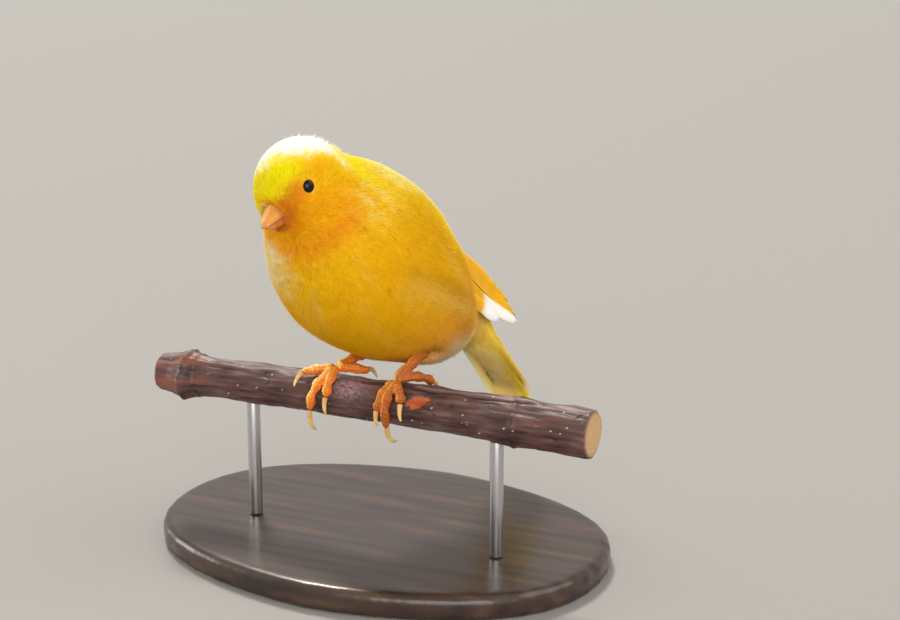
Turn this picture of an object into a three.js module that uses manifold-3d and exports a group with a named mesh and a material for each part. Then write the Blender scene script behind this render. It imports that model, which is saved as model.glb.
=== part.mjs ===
// A yellow canary perched on a cut length of branch, held over an oval base by two short rods.
// Millimetres, +Z up. The origin is the middle of the base's underside, and the branch runs along X.
// The bird looks towards -Y, turned a little to -X.
import * as THREE from "three";
import { mergeVertices } from "three/addons/utils/BufferGeometryUtils.js";
import Module from "manifold-3d";

const wasm = await Module();
wasm.setup();

// Gap between pieces that touch
const GAP = 0.3;

// Stand: an oval base and two rods
const BASE_LENGTH = 112;
const BASE_WIDTH = 80;
const BASE_THICKNESS = 6;
const BASE_EDGE = 1.2;
const ROD_RADIUS = 1.6;
const ROD_PLACES = { stand_rod_left: -31, stand_rod_right: 33 };

// Branch: its axis height, its place across the base, its ends and its thickness
const BRANCH_HEIGHT = 40;
const BRANCH_Y = -8;
const BRANCH_START = -57;
const BRANCH_END = 56;
const BRANCH_RADIUS = 5.1;
const BRANCH_TAPER = 0.0085;
const BRANCH_BOW = 1.1;
const KNOTS = [
  { at: -49, swell: 1.5, length: 3.6 },
  { at: 38, swell: 0.45, length: 2.6 },
];

// Bird: where its own frame sits, which has its origin on top of the branch between the feet
const BIRD_TURN = THREE.MathUtils.degToRad(-17);
const BIRD_PLACE = new THREE.Vector3(0, BRANCH_Y, BRANCH_HEIGHT + BRANCH_RADIUS);

// Plumage: how softly the rounded masses of the body run into each other
const BLEND = 6;
// Rounded masses of the body: middle (across, back, up) and half sizes (across, along, deep), tilted head up
const MASSES = [
  { name: "breast", at: [0, -7.4, 32.8], size: [17, 17.6, 17], tilt: 40 },
  { name: "keel", at: [0, -3, 25], size: [16, 17, 16.6], tilt: 40 },
  { name: "middle", at: [0, 5, 25.5], size: [16.2, 18, 16.6], tilt: 40 },
  { name: "belly", at: [0, 9, 18.8], size: [15.2, 17, 15.8], tilt: 32 },
  { name: "rear", at: [0, 18, 17], size: [11, 15.5, 12], tilt: 42 },
  { name: "vent", at: [0, 22, 8], size: [8, 9.5, 7.5], tilt: 20 },
  { name: "left thigh", at: [7, 13, 11], size: [5.5, 8, 7], tilt: 30 },
  { name: "right thigh", at: [-7, 13, 11], size: [5.5, 8, 7], tilt: 30 },
  { name: "coverts", at: [0, 34, 9.5], size: [5.6, 12, 4.6], tilt: 52 },
  { name: "shoulders", at: [0, -2, 37.2], size: [13.8, 14.6, 13.8], tilt: 40 },
  { name: "neck", at: [0, -13, 42.5], size: [11, 11.4, 11.2], tilt: 40 },
];

// Head: its middle, its turn, nod and roll in degrees, and its masses in its own frame (forward, left, up)
const HEAD_MIDDLE = new THREE.Vector3(0, -19.6, 48.5);
const HEAD_TURN = 7;
const HEAD_NOD = 21;
const HEAD_ROLL = -8;
const HEAD_MASSES = [
  { name: "skull", at: [-0.3, 0, 0.3], size: [10.8, 9.8, 10.2] },
  { name: "face", at: [5.4, 0, -1], size: [5.0, 5.6, 5.2] },
];

// Spine that the skin is wrapped round, as (back, up) points from the head's middle to the vent
const SPINE = [
  [-19.6, 48.5],
  [-13, 42.5],
  [-4, 34],
  [7, 25.5],
  [19, 18.5],
  [30, 11],
];
const SKIN_AROUND = 24;
const SKIN_ALONG = 32;
const CAP_SHARE = 0.16;

// Where the one skin is parted, as shares of the way along the spine
const HEAD_CUT = 0.13;
const NECK_CUT = 0.3;

// Eye
const EYE_PLACE = [4.5, 6.7, 2.3];
const EYE_RADIUS = 2;

// Bill: places along the head's forward axis
const BILL_BASE = 7;
const BILL_TIP = 15;
const BILL_HEIGHT = -1.8;
const BILL_HALF_WIDTH = 3.4;
const BILL_ABOVE = 3.7;
const BILL_BELOW = 3.3;
const BILL_OVERHANG = 0.9;

// Wing: its upper and lower edges from the shoulder to the tip (across, back, up)
const WING_UPPER = [
  [12, -12, 41],
  [8.5, -1.5, 47.5],
  [5.5, 11.5, 42],
  [4, 24.5, 31.5],
  [3.2, 38.5, 19],
  [3.2, 52, 6],
];
const WING_LOWER = [
  [16, -11, 34],
  [17.5, -3, 26.5],
  [16.5, 9, 21],
  [12.5, 21, 16],
  [8.8, 32.5, 10],
  [5.2, 48.5, 2],
];
const WING_LIFT = 1;
const WING_THICKNESS = 2.6;
const WING_TIP_THICKNESS = 1.2;

// Tail
const TAIL_ROOT = [0, 28, 18.5];
const TAIL_LENGTH = 55;
const TAIL_DROP = 52;
const TAIL_ROOT_HALF_WIDTH = 5.6;
const TAIL_END_HALF_WIDTH = 7.4;
const TAIL_THICKNESS = 1.7;
const TAIL_FORK = 4.5;
const TAIL_ARCH = 1.6;

// Feet: place along and round the branch, heel and knee from there, and for each toe its slide along
// the branch, how far round it reaches in degrees and its claw's length
const TOE_RADIUS = 1.15;
const CLAW_RADIUS = 0.68;
const CLAW_LIFT = -34;
const CLAW_HOOK = 92;
const HEEL_RADIUS = 1.5;
const SHANK_RADIUS = 1.15;
const FEET = {
  left: {
    at: 9.2,
    turn: 28,
    heel: [5.5, 12, 8.5],
    knee: [3.5, 5, 16],
    toes: {
      inner: { slide: -3, reach: 92, claw: 5 },
      middle: { slide: -1.2, reach: 132, claw: 8 },
      outer: { slide: 2.8, reach: 72, claw: 5 },
      hind: { slide: 5.4, reach: -48, claw: 6.5 },
    },
  },
  right: {
    at: -6.8,
    turn: 12,
    heel: [3.5, 11.5, 2.6],
    knee: [5.5, 6, 13],
    toes: {
      outer: { slide: -7.8, reach: 34, claw: 5 },
      middle: { slide: -4.8, reach: 116, claw: 7.6 },
      inner: { slide: -0.4, reach: 82, claw: 5 },
      hind: { slide: 5.8, reach: -26, claw: 5.2 },
    },
  },
};

// Colours from the photograph
const FINISH = {
  plumage: { color: 0xf2bd12, roughness: 0.8 },
  flight: { color: 0xf0d060, roughness: 0.7 },
  bill: { color: 0xdf9560, roughness: 0.5 },
  feet: { color: 0xdb8a4c, roughness: 0.55 },
  claw: { color: 0xe2c98a, roughness: 0.4 },
  eye: { color: 0x15100e, roughness: 0.08 },
  bark: { color: 0x5f474a, roughness: 0.85 },
  base: { color: 0x2b2523, roughness: 0.5 },
  rod: { color: 0x9a9a98, roughness: 0.35, metalness: 1 },
};

const smooth = (t) => t * t * (3 - 2 * t);
const clamp01 = (t) => Math.min(1, Math.max(0, t));
const vector = (list) => new THREE.Vector3(...list);
const ROUND = Math.PI * 2;

// Solids

// Merges a closed geometry's shared vertices and turns its faces outwards.
function sealed(geometry) {
  const bare = geometry.clone();
  bare.deleteAttribute("normal");
  bare.deleteAttribute("uv");
  const merged = mergeVertices(bare, 1e-4);
  const corners = merged.index.array;
  const [a, b, c] = [new THREE.Vector3(), new THREE.Vector3(), new THREE.Vector3()];
  let volume = 0;
  for (let i = 0; i < corners.length; i += 3) {
    [a, b, c].forEach((v, k) => v.fromBufferAttribute(merged.attributes.position, corners[i + k]));
    volume += a.dot(b.cross(c)) / 6;
  }
  if (volume < 0) corners.reverse();
  return merged;
}

function solidOf(geometry) {
  const { attributes, index } = sealed(geometry);
  const triVerts = new Uint32Array(index.array);
  const vertProperties = attributes.position.array;
  return new wasm.Manifold(new wasm.Mesh({ numProp: 3, vertProperties, triVerts }));
}

// The room a piece needs in its neighbour: its own shape with every vertex moved out.
function roomFor(geometry) {
  const grown = sealed(geometry);
  grown.computeVertexNormals();
  const { position, normal } = grown.attributes;
  for (let i = 0; i < position.count; i++) {
    const out = new THREE.Vector3().fromBufferAttribute(normal, i).multiplyScalar(GAP * 1.25);
    position.setXYZ(i, position.getX(i) + out.x, position.getY(i) + out.y, position.getZ(i) + out.z);
  }
  return solidOf(grown);
}

function geometryOf(solid) {
  const mesh = solid.getMesh();
  const geometry = new THREE.BufferGeometry();
  const places = new THREE.BufferAttribute(new Float32Array(mesh.vertProperties), 3);
  geometry.setAttribute("position", places);
  geometry.setIndex(new THREE.BufferAttribute(new Uint32Array(mesh.triVerts), 1));
  geometry.computeVertexNormals();
  return geometry;
}

// Keeps the largest body of a solid that a cut has left in crumbs.
function largest(solid) {
  const bodies = solid.decompose();
  return bodies.reduce((a, b) => (b.volume() > a.volume() ? b : a));
}

// A sphere whose vertices are moved: place(along, around) takes 0 to 1 from pole to pole, and an angle.
function wrapped(around, along, place) {
  const sphere = new THREE.SphereGeometry(1, around, along);
  const at = sphere.attributes.position;
  const columns = around + 1;
  for (let i = 0; i < at.count; i++) {
    const row = Math.floor(i / columns);
    const angle = ((i % columns) % around) / around;
    const p = place(row / along, row === 0 || row === along ? 0 : angle * ROUND);
    at.setXYZ(i, p.x, p.y, p.z);
  }
  return sphere;
}

// A round tube along a path with domed ends: thick(along, around) is its radius.
function tube(path, thick, around, along) {
  const points = Array.from({ length: along + 1 }, (_, i) => path(i / along));
  const tangent = (i) =>
    points[Math.min(i + 1, along)].clone().sub(points[Math.max(i - 1, 0)]).normalize();
  let side = new THREE.Vector3(1, 0, 0);
  const frames = points.map((p, i) => {
    const ahead = tangent(i);
    side = side.clone().addScaledVector(ahead, -side.dot(ahead)).normalize();
    return { p, side, up: new THREE.Vector3().crossVectors(ahead, side) };
  });
  return wrapped(around, along, (t, angle) => {
    const { p, side, up } = frames[Math.round(t * along)];
    const fromEnd = Math.min(t, 1 - t) * along;
    const r = thick(t, angle) * Math.sqrt(clamp01(fromEnd / 1.2));
    return p
      .clone()
      .addScaledVector(side, Math.cos(angle) * r)
      .addScaledVector(up, Math.sin(angle) * r);
  });
}

// Branch

const branchRadius = (x) => {
  const knots = KNOTS.map((k) => k.swell * Math.exp(-(((x - k.at) / k.length) ** 2)));
  return BRANCH_RADIUS + BRANCH_TAPER * x + knots.reduce((a, b) => a + b, 0);
};
const branchMiddle = (x) =>
  new THREE.Vector3(
    x,
    BRANCH_Y + BRANCH_BOW * (1 - Math.cos(x / 30)),
    BRANCH_HEIGHT + BRANCH_BOW * (Math.cos(x / 36) - 1),
  );

// A point at a distance off the bark; the angle is 0 on top and grows towards -Y.
function overBark(x, degrees, off) {
  const a = THREE.MathUtils.degToRad(degrees);
  const out = new THREE.Vector3(0, -Math.sin(a), Math.cos(a));
  return branchMiddle(x).addScaledVector(out, branchRadius(x) + off);
}

function makeBranch() {
  const length = BRANCH_END - BRANCH_START;
  const rows = 30;
  return wrapped(12, rows, (t, angle) => {
    const x = BRANCH_START + length * clamp01((t * rows - 1) / (rows - 2));
    const end = t === 0 || t === 1;
    const uneven = 1 + 0.02 * Math.sin(3 * angle + x / 9) + 0.015 * Math.sin(2 * angle - x / 14);
    const r = end ? 0 : branchRadius(x) * uneven;
    return branchMiddle(x).add(new THREE.Vector3(0, -Math.sin(angle) * r, Math.cos(angle) * r));
  });
}

// Stand

function makeBase() {
  const half = BASE_WIDTH / 2;
  const profile = [
    [0, 0],
    [half - BASE_EDGE / 2, 0],
    [half, BASE_EDGE / 2],
    [half, BASE_THICKNESS - BASE_EDGE],
    [half - BASE_EDGE, BASE_THICKNESS],
    [0, BASE_THICKNESS],
  ].map(([r, z]) => new THREE.Vector2(r, z));
  const disc = new THREE.LatheGeometry(profile, 40);
  disc.rotateX(Math.PI / 2);
  const at = disc.attributes.position;
  const stretch = (BASE_LENGTH - BASE_WIDTH) / 2;
  for (let i = 0; i < at.count; i++) {
    const x = at.getX(i);
    if (Math.abs(x) > 1e-3) at.setX(i, x + Math.sign(x) * stretch * smooth(clamp01(Math.abs(x) / half)));
  }
  return disc;
}

function makeRod(x, branch) {
  const top = BRANCH_HEIGHT;
  const bottom = BASE_THICKNESS + GAP;
  const rod = new THREE.CylinderGeometry(ROD_RADIUS, ROD_RADIUS, top - bottom, 16);
  rod.rotateX(Math.PI / 2);
  rod.translate(x, branchMiddle(x).y, (top + bottom) / 2);
  const cut = solidOf(rod).subtract(branch);
  const lowered = cut.translate([0, 0, -GAP]);
  const foot = new THREE.BoxGeometry(20, 20, 20);
  foot.translate(x, BRANCH_Y, bottom - 10);
  return largest(lowered.subtract(solidOf(foot)));
}

// Body

// Rough distance from a point to an ellipsoid.
function ellipsoid(p, size) {
  const near = Math.hypot(p.x / size[0], p.y / size[1], p.z / size[2]);
  const steep = Math.hypot(p.x / size[0] ** 2, p.y / size[1] ** 2, p.z / size[2] ** 2);
  return steep < 1e-9 ? -Math.min(...size) : (near * (near - 1)) / steep;
}

function joined(a, b, width) {
  const h = Math.max(width - Math.abs(a - b), 0) / width;
  return Math.min(a, b) - (h * h * width) / 4;
}

const bodyTurns = MASSES.map(({ tilt }) =>
  new THREE.Matrix4().makeRotationX(THREE.MathUtils.degToRad(tilt)),
);
const headFrame = new THREE.Matrix4()
  .makeTranslation(HEAD_MIDDLE)
  .multiply(new THREE.Matrix4().makeRotationZ(THREE.MathUtils.degToRad(HEAD_TURN)))
  .multiply(new THREE.Matrix4().makeRotationX(THREE.MathUtils.degToRad(HEAD_NOD)))
  .multiply(new THREE.Matrix4().makeRotationY(THREE.MathUtils.degToRad(HEAD_ROLL)));
const intoHead = headFrame.clone().invert();
// A point of the head, given forward, left and up from its middle
const headPoint = (forward, left, up) =>
  new THREE.Vector3(left, -forward, up).applyMatrix4(headFrame);

// Below 0 inside the plumage, above 0 outside, in about millimetres
function plumage(p) {
  let d = Infinity;
  MASSES.forEach(({ at, size }, i) => {
    const local = p.clone().sub(vector(at)).applyMatrix4(bodyTurns[i]);
    const here = ellipsoid(local, size);
    d = d === Infinity ? here : joined(d, here, BLEND);
  });
  const inHead = p.clone().applyMatrix4(intoHead);
  HEAD_MASSES.forEach(({ at: [forward, left, up], size: [long, wide, high] }) => {
    const local = inHead.clone().sub(new THREE.Vector3(left, -forward, up));
    d = joined(d, ellipsoid(local, [wide, long, high]), BLEND * 0.6);
  });
  return d;
}

function plumageSlope(p) {
  const h = 0.05;
  const d = (x, y, z) => plumage(p.clone().add(new THREE.Vector3(x, y, z)));
  return new THREE.Vector3(
    d(h, 0, 0) - d(-h, 0, 0),
    d(0, h, 0) - d(0, -h, 0),
    d(0, 0, h) - d(0, 0, -h),
  ).normalize();
}

// Pushes a point out of the body until it is a set distance off its surface.
function liftedTo(p, distance) {
  const lifted = p.clone();
  for (let i = 0; i < 5; i++) {
    const short = distance - plumage(lifted);
    if (short > 0) lifted.addScaledVector(plumageSlope(lifted), short * 0.9);
  }
  return lifted;
}

const spine = new THREE.CatmullRomCurve3(SPINE.map(([y, z]) => new THREE.Vector3(0, y, z)));

// Where the plumage ends on a straight line from a point inside it
function edgeFrom(from, way) {
  let inside = 0;
  let outside = 1;
  const at = (r) => plumage(from.clone().addScaledVector(way, r));
  while (at(outside) < 0 && outside < 60) {
    inside = outside;
    outside += 1;
  }
  for (let i = 0; i < 14; i++) {
    const middle = (inside + outside) / 2;
    if (at(middle) < 0) inside = middle;
    else outside = middle;
  }
  return from.clone().addScaledVector(way, (inside + outside) / 2);
}

function makeSkin() {
  return wrapped(SKIN_AROUND, SKIN_ALONG, (t, angle) => {
    const way = clamp01((t - CAP_SHARE) / (1 - 2 * CAP_SHARE));
    const from = spine.getPointAt(way);
    const ahead = spine.getTangentAt(way);
    const up = new THREE.Vector3().crossVectors(new THREE.Vector3(1, 0, 0), ahead).normalize();
    const out = new THREE.Vector3(Math.sin(angle), 0, 0).addScaledVector(up, Math.cos(angle));
    const front = clamp01((CAP_SHARE - t) / CAP_SHARE) * (Math.PI / 2);
    const rear = clamp01((t - 1 + CAP_SHARE) / CAP_SHARE) * (Math.PI / 2);
    const lean = rear - front;
    const ray = out.multiplyScalar(Math.cos(lean)).addScaledVector(ahead, Math.sin(lean));
    return edgeFrom(from, ray.normalize());
  });
}

// A large block behind a plane across the spine, for parting the skin there
function blockBeyond(share, shift) {
  const at = spine.getPointAt(share);
  const ahead = spine.getTangentAt(share);
  const block = new THREE.BoxGeometry(120, 120, 120);
  block.translate(0, 0, 60 + shift);
  block.applyQuaternion(new THREE.Quaternion().setFromUnitVectors(new THREE.Vector3(0, 0, 1), ahead));
  block.translate(at.x, at.y, at.z);
  return solidOf(placed(block));
}

// Head pieces

function makeEye(side) {
  const ball = new THREE.SphereGeometry(EYE_RADIUS, 12, 8);
  const [forward, left, up] = EYE_PLACE;
  const at = headPoint(forward, left * side, up);
  return ball.translate(at.x, at.y, at.z);
}

// Half of the bill: the upper half for part 1, the lower for part -1
function makeBillHalf(part) {
  const length = BILL_TIP - BILL_BASE;
  const high = part > 0 ? BILL_ABOVE : BILL_BELOW;
  const reach = part > 0 ? length : length - BILL_OVERHANG;
  const rows = 9;
  return wrapped(12, rows, (t, angle) => {
    const s = clamp01((t * rows - 1) / (rows - 1));
    const taper = t === 0 ? 0 : Math.sqrt(Math.max(0, 1 - s ** 1.6)) * (1 - 0.25 * s);
    const across = Math.cos(angle) * BILL_HALF_WIDTH * taper;
    const arch = Math.max(Math.sin(angle), 0) ** 0.9 * high * taper * (1 - 0.12 * s);
    const mouth = BILL_HEIGHT - 0.5 * s * s;
    return headPoint(BILL_BASE + reach * s, across, mouth + part * (arch + GAP / 2));
  });
}

// Wings

function makeWing(side) {
  const upper = new THREE.CatmullRomCurve3(WING_UPPER.map(vector));
  const lower = new THREE.CatmullRomCurve3(WING_LOWER.map(vector));
  const free = new THREE.Vector3(1, 0.1, 0.55).normalize();
  const rows = 18;
  return wrapped(14, rows, (t, angle) => {
    const outer = angle <= Math.PI;
    const half = outer ? angle / Math.PI : 2 - angle / Math.PI;
    const u = 0.01 + 0.98 * clamp01((t * rows - 0.5) / (rows - 1));
    const narrowed = 1 - 0.55 * clamp01((t - 0.86) / 0.14);
    const spread = Math.min(1, 0.35 + 2.2 * Math.sqrt(t)) * narrowed;
    const across = 0.5 + (half - 0.5) * spread;
    const crown = 0.35 + 0.65 * Math.sin(Math.PI * half);
    const place = liftedTo(upper.getPoint(u).lerp(lower.getPoint(u), across), WING_LIFT * crown);
    const near = clamp01(1 - plumage(place) / 4);
    const out = free.clone().lerp(plumageSlope(place), near).normalize();
    const thick = THREE.MathUtils.lerp(WING_TIP_THICKNESS, WING_THICKNESS, near);
    if (!outer) place.addScaledVector(out, -thick * crown);
    place.x *= side;
    return place;
  });
}

// Tail

function makeTail() {
  const drop = THREE.MathUtils.degToRad(TAIL_DROP);
  const along = new THREE.Vector3(0, Math.cos(drop), -Math.sin(drop));
  const above = new THREE.Vector3(0, Math.sin(drop), Math.cos(drop));
  const rows = 12;
  return wrapped(14, rows, (t, angle) => {
    const s = clamp01((t * rows - 1) / (rows - 2));
    const open = t === 0 || t === 1 ? 0 : 1;
    const half = THREE.MathUtils.lerp(TAIL_ROOT_HALF_WIDTH, TAIL_END_HALF_WIDTH, s ** 1.3);
    const across = Math.cos(angle) * open;
    const thick = (Math.sin(angle) * open * TAIL_THICKNESS * (1 - 0.35 * s)) / 2;
    const fork = TAIL_FORK * Math.abs(across) * s;
    const arch = -TAIL_ARCH * across * across * (1 - 0.5 * s);
    return vector(TAIL_ROOT)
      .addScaledVector(along, (TAIL_LENGTH - TAIL_FORK) * s + fork)
      .add(new THREE.Vector3(across * half, 0, 0))
      .addScaledVector(above, thick + arch);
  });
}

// Legs and feet, in the frame of the branch

function footJoint(foot) {
  return overBark(foot.at, foot.turn, GAP + 1.75);
}

function makeLeg(foot) {
  const joint = footJoint(foot);
  const heel = joint.clone().add(vector(foot.heel));
  const knee = joint.clone().add(vector(foot.knee));
  const bend = new THREE.CatmullRomCurve3([joint, joint.clone().lerp(heel, 0.5), heel, knee]);
  const shank = (t) => {
    const ankle = 0.45 * Math.exp(-((t / 0.1) ** 2));
    const hock = (HEEL_RADIUS - SHANK_RADIUS) * Math.exp(-(((t - 0.6) / 0.12) ** 2));
    return SHANK_RADIUS + ankle + hock + 0.3 * clamp01(t - 0.6);
  };
  return tube((t) => bend.getPoint(t), shank, 8, 14);
}

const toePath = (foot, toe) => (t) => {
  const x = foot.at + toe.slide * Math.sin((t * Math.PI) / 2);
  const turn = foot.turn + (toe.reach - foot.turn) * t;
  const rise = 0.7 * (1 - t) ** 2;
  return overBark(x, turn, GAP + TOE_RADIUS * (1 - 0.2 * t) + 0.12 + rise);
};

function makeToe(foot, toe) {
  const thick = (t) => {
    const knuckles = 0.1 * Math.cos(t * ROUND * 2.5);
    return TOE_RADIUS * (1 - 0.22 * t) + knuckles;
  };
  return tube(toePath(foot, toe), thick, 7, 11);
}

// A claw carries on from the toe, first lifting off the bark and then hooking back
function makeClaw(foot, toe) {
  const path = toePath(foot, toe);
  const root = path(1);
  const ahead = root.clone().sub(path(0.9)).normalize();
  const palm = overBark(foot.at + toe.slide, toe.reach, 0).sub(overBark(foot.at + toe.slide, toe.reach, 1));
  palm.addScaledVector(ahead, -palm.dot(ahead)).normalize();
  const steps = 12;
  const points = [root.clone().addScaledVector(ahead, -1)];
  for (let i = 0; i < steps; i++) {
    const lean = THREE.MathUtils.degToRad(CLAW_LIFT + (CLAW_HOOK * i) / steps);
    const step = ahead.clone().multiplyScalar(Math.cos(lean)).addScaledVector(palm, Math.sin(lean));
    points.push(points[i].clone().addScaledVector(step, toe.claw / steps));
  }
  const hook = new THREE.CatmullRomCurve3(points);
  return tube((t) => hook.getPoint(t), (t) => CLAW_RADIUS * (1 - 0.72 * t ** 1.2), 6, 8);
}

// Assembly

const birdMatrix = new THREE.Matrix4()
  .makeTranslation(BIRD_PLACE)
  .multiply(new THREE.Matrix4().makeRotationZ(BIRD_TURN));
const placed = (geometry) => geometry.clone().applyMatrix4(birdMatrix);

const pieces = [];
const add = (name, solid, finish) => pieces.push({ name, solid, finish });

const branch = solidOf(makeBranch());
add("perch_branch", branch, "bark");
add("stand_base", solidOf(makeBase()), "base");
Object.entries(ROD_PLACES).forEach(([name, x]) => add(name, makeRod(x, branch), "rod"));

// All that the plumage has to leave room for
const inserts = [];

Object.entries(FEET).forEach(([side, foot]) => {
  const leg = makeLeg(foot);
  add(`leg_${side}`, solidOf(leg), "feet");
  inserts.push(leg);
  let taken = roomFor(leg);
  Object.entries(foot.toes).forEach(([which, toe]) => {
    const shape = makeToe(foot, toe);
    add(`toe_${side}_${which}`, largest(solidOf(shape).subtract(taken)), "feet");
    const claw = solidOf(makeClaw(foot, toe)).subtract(roomFor(shape));
    add(`claw_${side}_${which}`, largest(claw), "claw");
    taken = taken.add(roomFor(shape));
  });
});

const addFitted = (name, geometry, finish) => {
  const shape = placed(geometry);
  add(name, solidOf(shape), finish);
  inserts.push(shape);
};
Object.entries({ left: 1, right: -1 }).forEach(([side, sign]) => {
  addFitted(`wing_${side}`, makeWing(sign), "flight");
  addFitted(`eye_${side}`, makeEye(sign), "eye");
});
addFitted("tail", makeTail(), "flight");
addFitted("bill_upper", makeBillHalf(1), "bill");
addFitted("bill_lower", makeBillHalf(-1), "bill");

let skin = solidOf(placed(makeSkin()));
inserts.forEach((shape) => {
  skin = skin.subtract(roomFor(shape));
});
add("head", largest(skin.subtract(blockBeyond(HEAD_CUT, -GAP / 2))), "plumage");
const neck = skin.intersect(blockBeyond(HEAD_CUT, GAP / 2)).subtract(blockBeyond(NECK_CUT, -GAP / 2));
add("neck", largest(neck), "plumage");
add("trunk", largest(skin.intersect(blockBeyond(NECK_CUT, GAP / 2))), "plumage");

const canary = new THREE.Group();
pieces.forEach(({ name, solid, finish }) => {
  const mesh = new THREE.Mesh(geometryOf(solid), new THREE.MeshStandardMaterial(FINISH[finish]));
  mesh.name = name;
  canary.add(mesh);
});

export default canary;
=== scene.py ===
import math
import bmesh
import bpy
import numpy as np
from mathutils import Matrix, Vector
from mathutils.bvhtree import BVHTree


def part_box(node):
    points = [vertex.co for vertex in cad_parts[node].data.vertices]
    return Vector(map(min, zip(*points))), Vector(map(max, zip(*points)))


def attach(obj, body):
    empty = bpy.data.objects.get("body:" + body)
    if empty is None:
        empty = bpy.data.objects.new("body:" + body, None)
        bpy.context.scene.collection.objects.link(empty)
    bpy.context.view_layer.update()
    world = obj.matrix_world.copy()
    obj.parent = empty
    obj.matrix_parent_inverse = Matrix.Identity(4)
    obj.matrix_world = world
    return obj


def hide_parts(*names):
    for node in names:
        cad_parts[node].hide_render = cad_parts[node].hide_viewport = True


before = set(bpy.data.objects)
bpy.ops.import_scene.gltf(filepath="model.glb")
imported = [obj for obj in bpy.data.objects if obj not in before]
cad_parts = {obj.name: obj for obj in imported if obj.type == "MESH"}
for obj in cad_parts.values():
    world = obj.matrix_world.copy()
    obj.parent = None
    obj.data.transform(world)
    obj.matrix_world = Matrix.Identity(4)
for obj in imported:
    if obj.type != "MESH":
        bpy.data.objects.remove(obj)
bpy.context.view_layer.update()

MM = 0.001

# Room: a pale matt floor that runs out of sight, one large soft light high on the left and behind,
# which gives the crown and the back their pale rim, and a wide fill from the front.
FLOOR_SIZE = 8
FLOOR_TINT = (0.30, 0.29, 0.28, 1)
FLOOR_ROUGHNESS = 0.75
ROOM_TINT = (1.0, 0.97, 0.93, 1)
ROOM_STRENGTH = 0.55
LAMP_DISTANCE = 0.6
bpy.ops.object.select_all(action="DESELECT")
bpy.ops.mesh.primitive_plane_add(size=FLOOR_SIZE, location=(0, 0, 0))
floor = bpy.context.object
floor.name = "floor"
floor_finish = bpy.data.materials.new("pale_floor")
floor_finish.use_nodes = True
floor_shader = floor_finish.node_tree.nodes["Principled BSDF"]
floor_shader.inputs["Base Color"].default_value = FLOOR_TINT
floor_shader.inputs["Roughness"].default_value = FLOOR_ROUGHNESS
floor.data.materials.append(floor_finish)

world = bpy.data.worlds.new("soft_room")
world.use_nodes = True
world.node_tree.nodes["Background"].inputs["Color"].default_value = ROOM_TINT
world.node_tree.nodes["Background"].inputs["Strength"].default_value = ROOM_STRENGTH
bpy.context.scene.world = world
bpy.context.scene.view_settings.view_transform = "Standard"

LIGHTS = {
    "key": {"from": (-0.378, 0.416, 0.827), "softness": 12, "strength": 2.5, "tint": (1.0, 0.97, 0.90)},
    "fill": {"from": (0.40, -0.86, 0.24), "softness": 50, "strength": 2.2, "tint": (1.0, 0.94, 0.86)},
    "back": {"from": (0.75, 0.10, 0.65), "softness": 50, "strength": 1.0, "tint": (1.0, 0.96, 0.88)},
    "side": {"from": (-0.95, -0.10, 0.18), "softness": 30, "strength": 1.2, "tint": (1.0, 0.97, 0.92)},
}
for light_name, light in LIGHTS.items():
    bpy.ops.object.light_add(type="SUN", location=Vector(light["from"]) * LAMP_DISTANCE)
    lamp = bpy.context.object
    lamp.name = light_name
    lamp.data.angle = math.radians(light["softness"])
    lamp.data.energy = light["strength"]
    lamp.data.color = light["tint"]
    lamp.rotation_euler = Vector(light["from"]).to_track_quat("Z", "Y").to_euler()

# Camera: seen from 25 degrees to the bird's left and 15.4 degrees above. The grip, on top of the
# branch between the feet, keeps its place in the photo's frame of 900 by 620.
VIEW_AZIMUTH = math.radians(25)
VIEW_PITCH = math.radians(15.4)
LENS = 74.0
SENSOR = 36.0
FRAME_SIZE = (900, 620)
GRIP = Vector((0, -8, 45)) * MM
GRIP_PIXEL = (366, 378)
VIEW_DISTANCE = 0.43
bpy.ops.object.camera_add(rotation=(math.pi / 2 - VIEW_PITCH, 0, VIEW_AZIMUTH))
camera = bpy.context.object
camera.name = "camera"
camera.data.lens = LENS
camera.data.sensor_width = SENSOR
pixels_focal = LENS / SENSOR * FRAME_SIZE[0]
grip_seen = Vector((
    (GRIP_PIXEL[0] - FRAME_SIZE[0] / 2) / pixels_focal,
    (FRAME_SIZE[1] / 2 - GRIP_PIXEL[1]) / pixels_focal,
    -1,
)) * VIEW_DISTANCE
camera.location = GRIP - camera.rotation_euler.to_matrix() @ grip_seen
camera.data.dof.use_dof = False
bpy.context.scene.camera = camera

# Skin: one closed skin under all the plumage, from the bill's root to the tail's root. It takes the
# outline of the solids of head, neck, trunk and the fronts of the folded wings, without their seams,
# and is sunk by the depth of the plumage. Its colours are those of the feathers over it, painted
# darker as shade under the coat.
BIRD_TURN = np.array(Matrix.Rotation(math.radians(-17), 3, "Z"))
BIRD_PLACE = np.array((0, -8, 45.1))
HEAD_MIDDLE = np.array((0, -19.6, 48.5))
HEAD_TURNED = np.array(
    Matrix.Rotation(math.radians(7), 3, "Z")
    @ Matrix.Rotation(math.radians(21), 3, "X")
    @ Matrix.Rotation(math.radians(-8), 3, "Y")
)
GUIDE_VOXEL = 0.75
GUIDE_SWELL = 0.28
WING_CUT_AT = (0, 27, 24)
WING_CUT_FACES = (0, 0.96, -0.28)
TAIL_ROOT = np.array((0, 28, 18.5))
TAIL_DROP = math.radians(52)
TAIL_ALONG = np.array((0, math.cos(TAIL_DROP), -math.sin(TAIL_DROP)))
TAIL_ABOVE = np.array((0, math.sin(TAIL_DROP), math.cos(TAIL_DROP)))
TAIL_BASE = [
    (-8, 6.5, 4.0, 8.0), (0, 7.0, 3.5, 8.4), (8, 7.6, 2.6, 8.2), (15, 7.8, 2.0, 7.6), (20, 7.8, 1.6, 6.6),
    (25, 7.8, 1.4, 4.2), (30, 7.6, 1.2, 2.4), (34, 7.0, 0.8, 1.1),
]
TAIL_BASE_SIDES = 28
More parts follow.
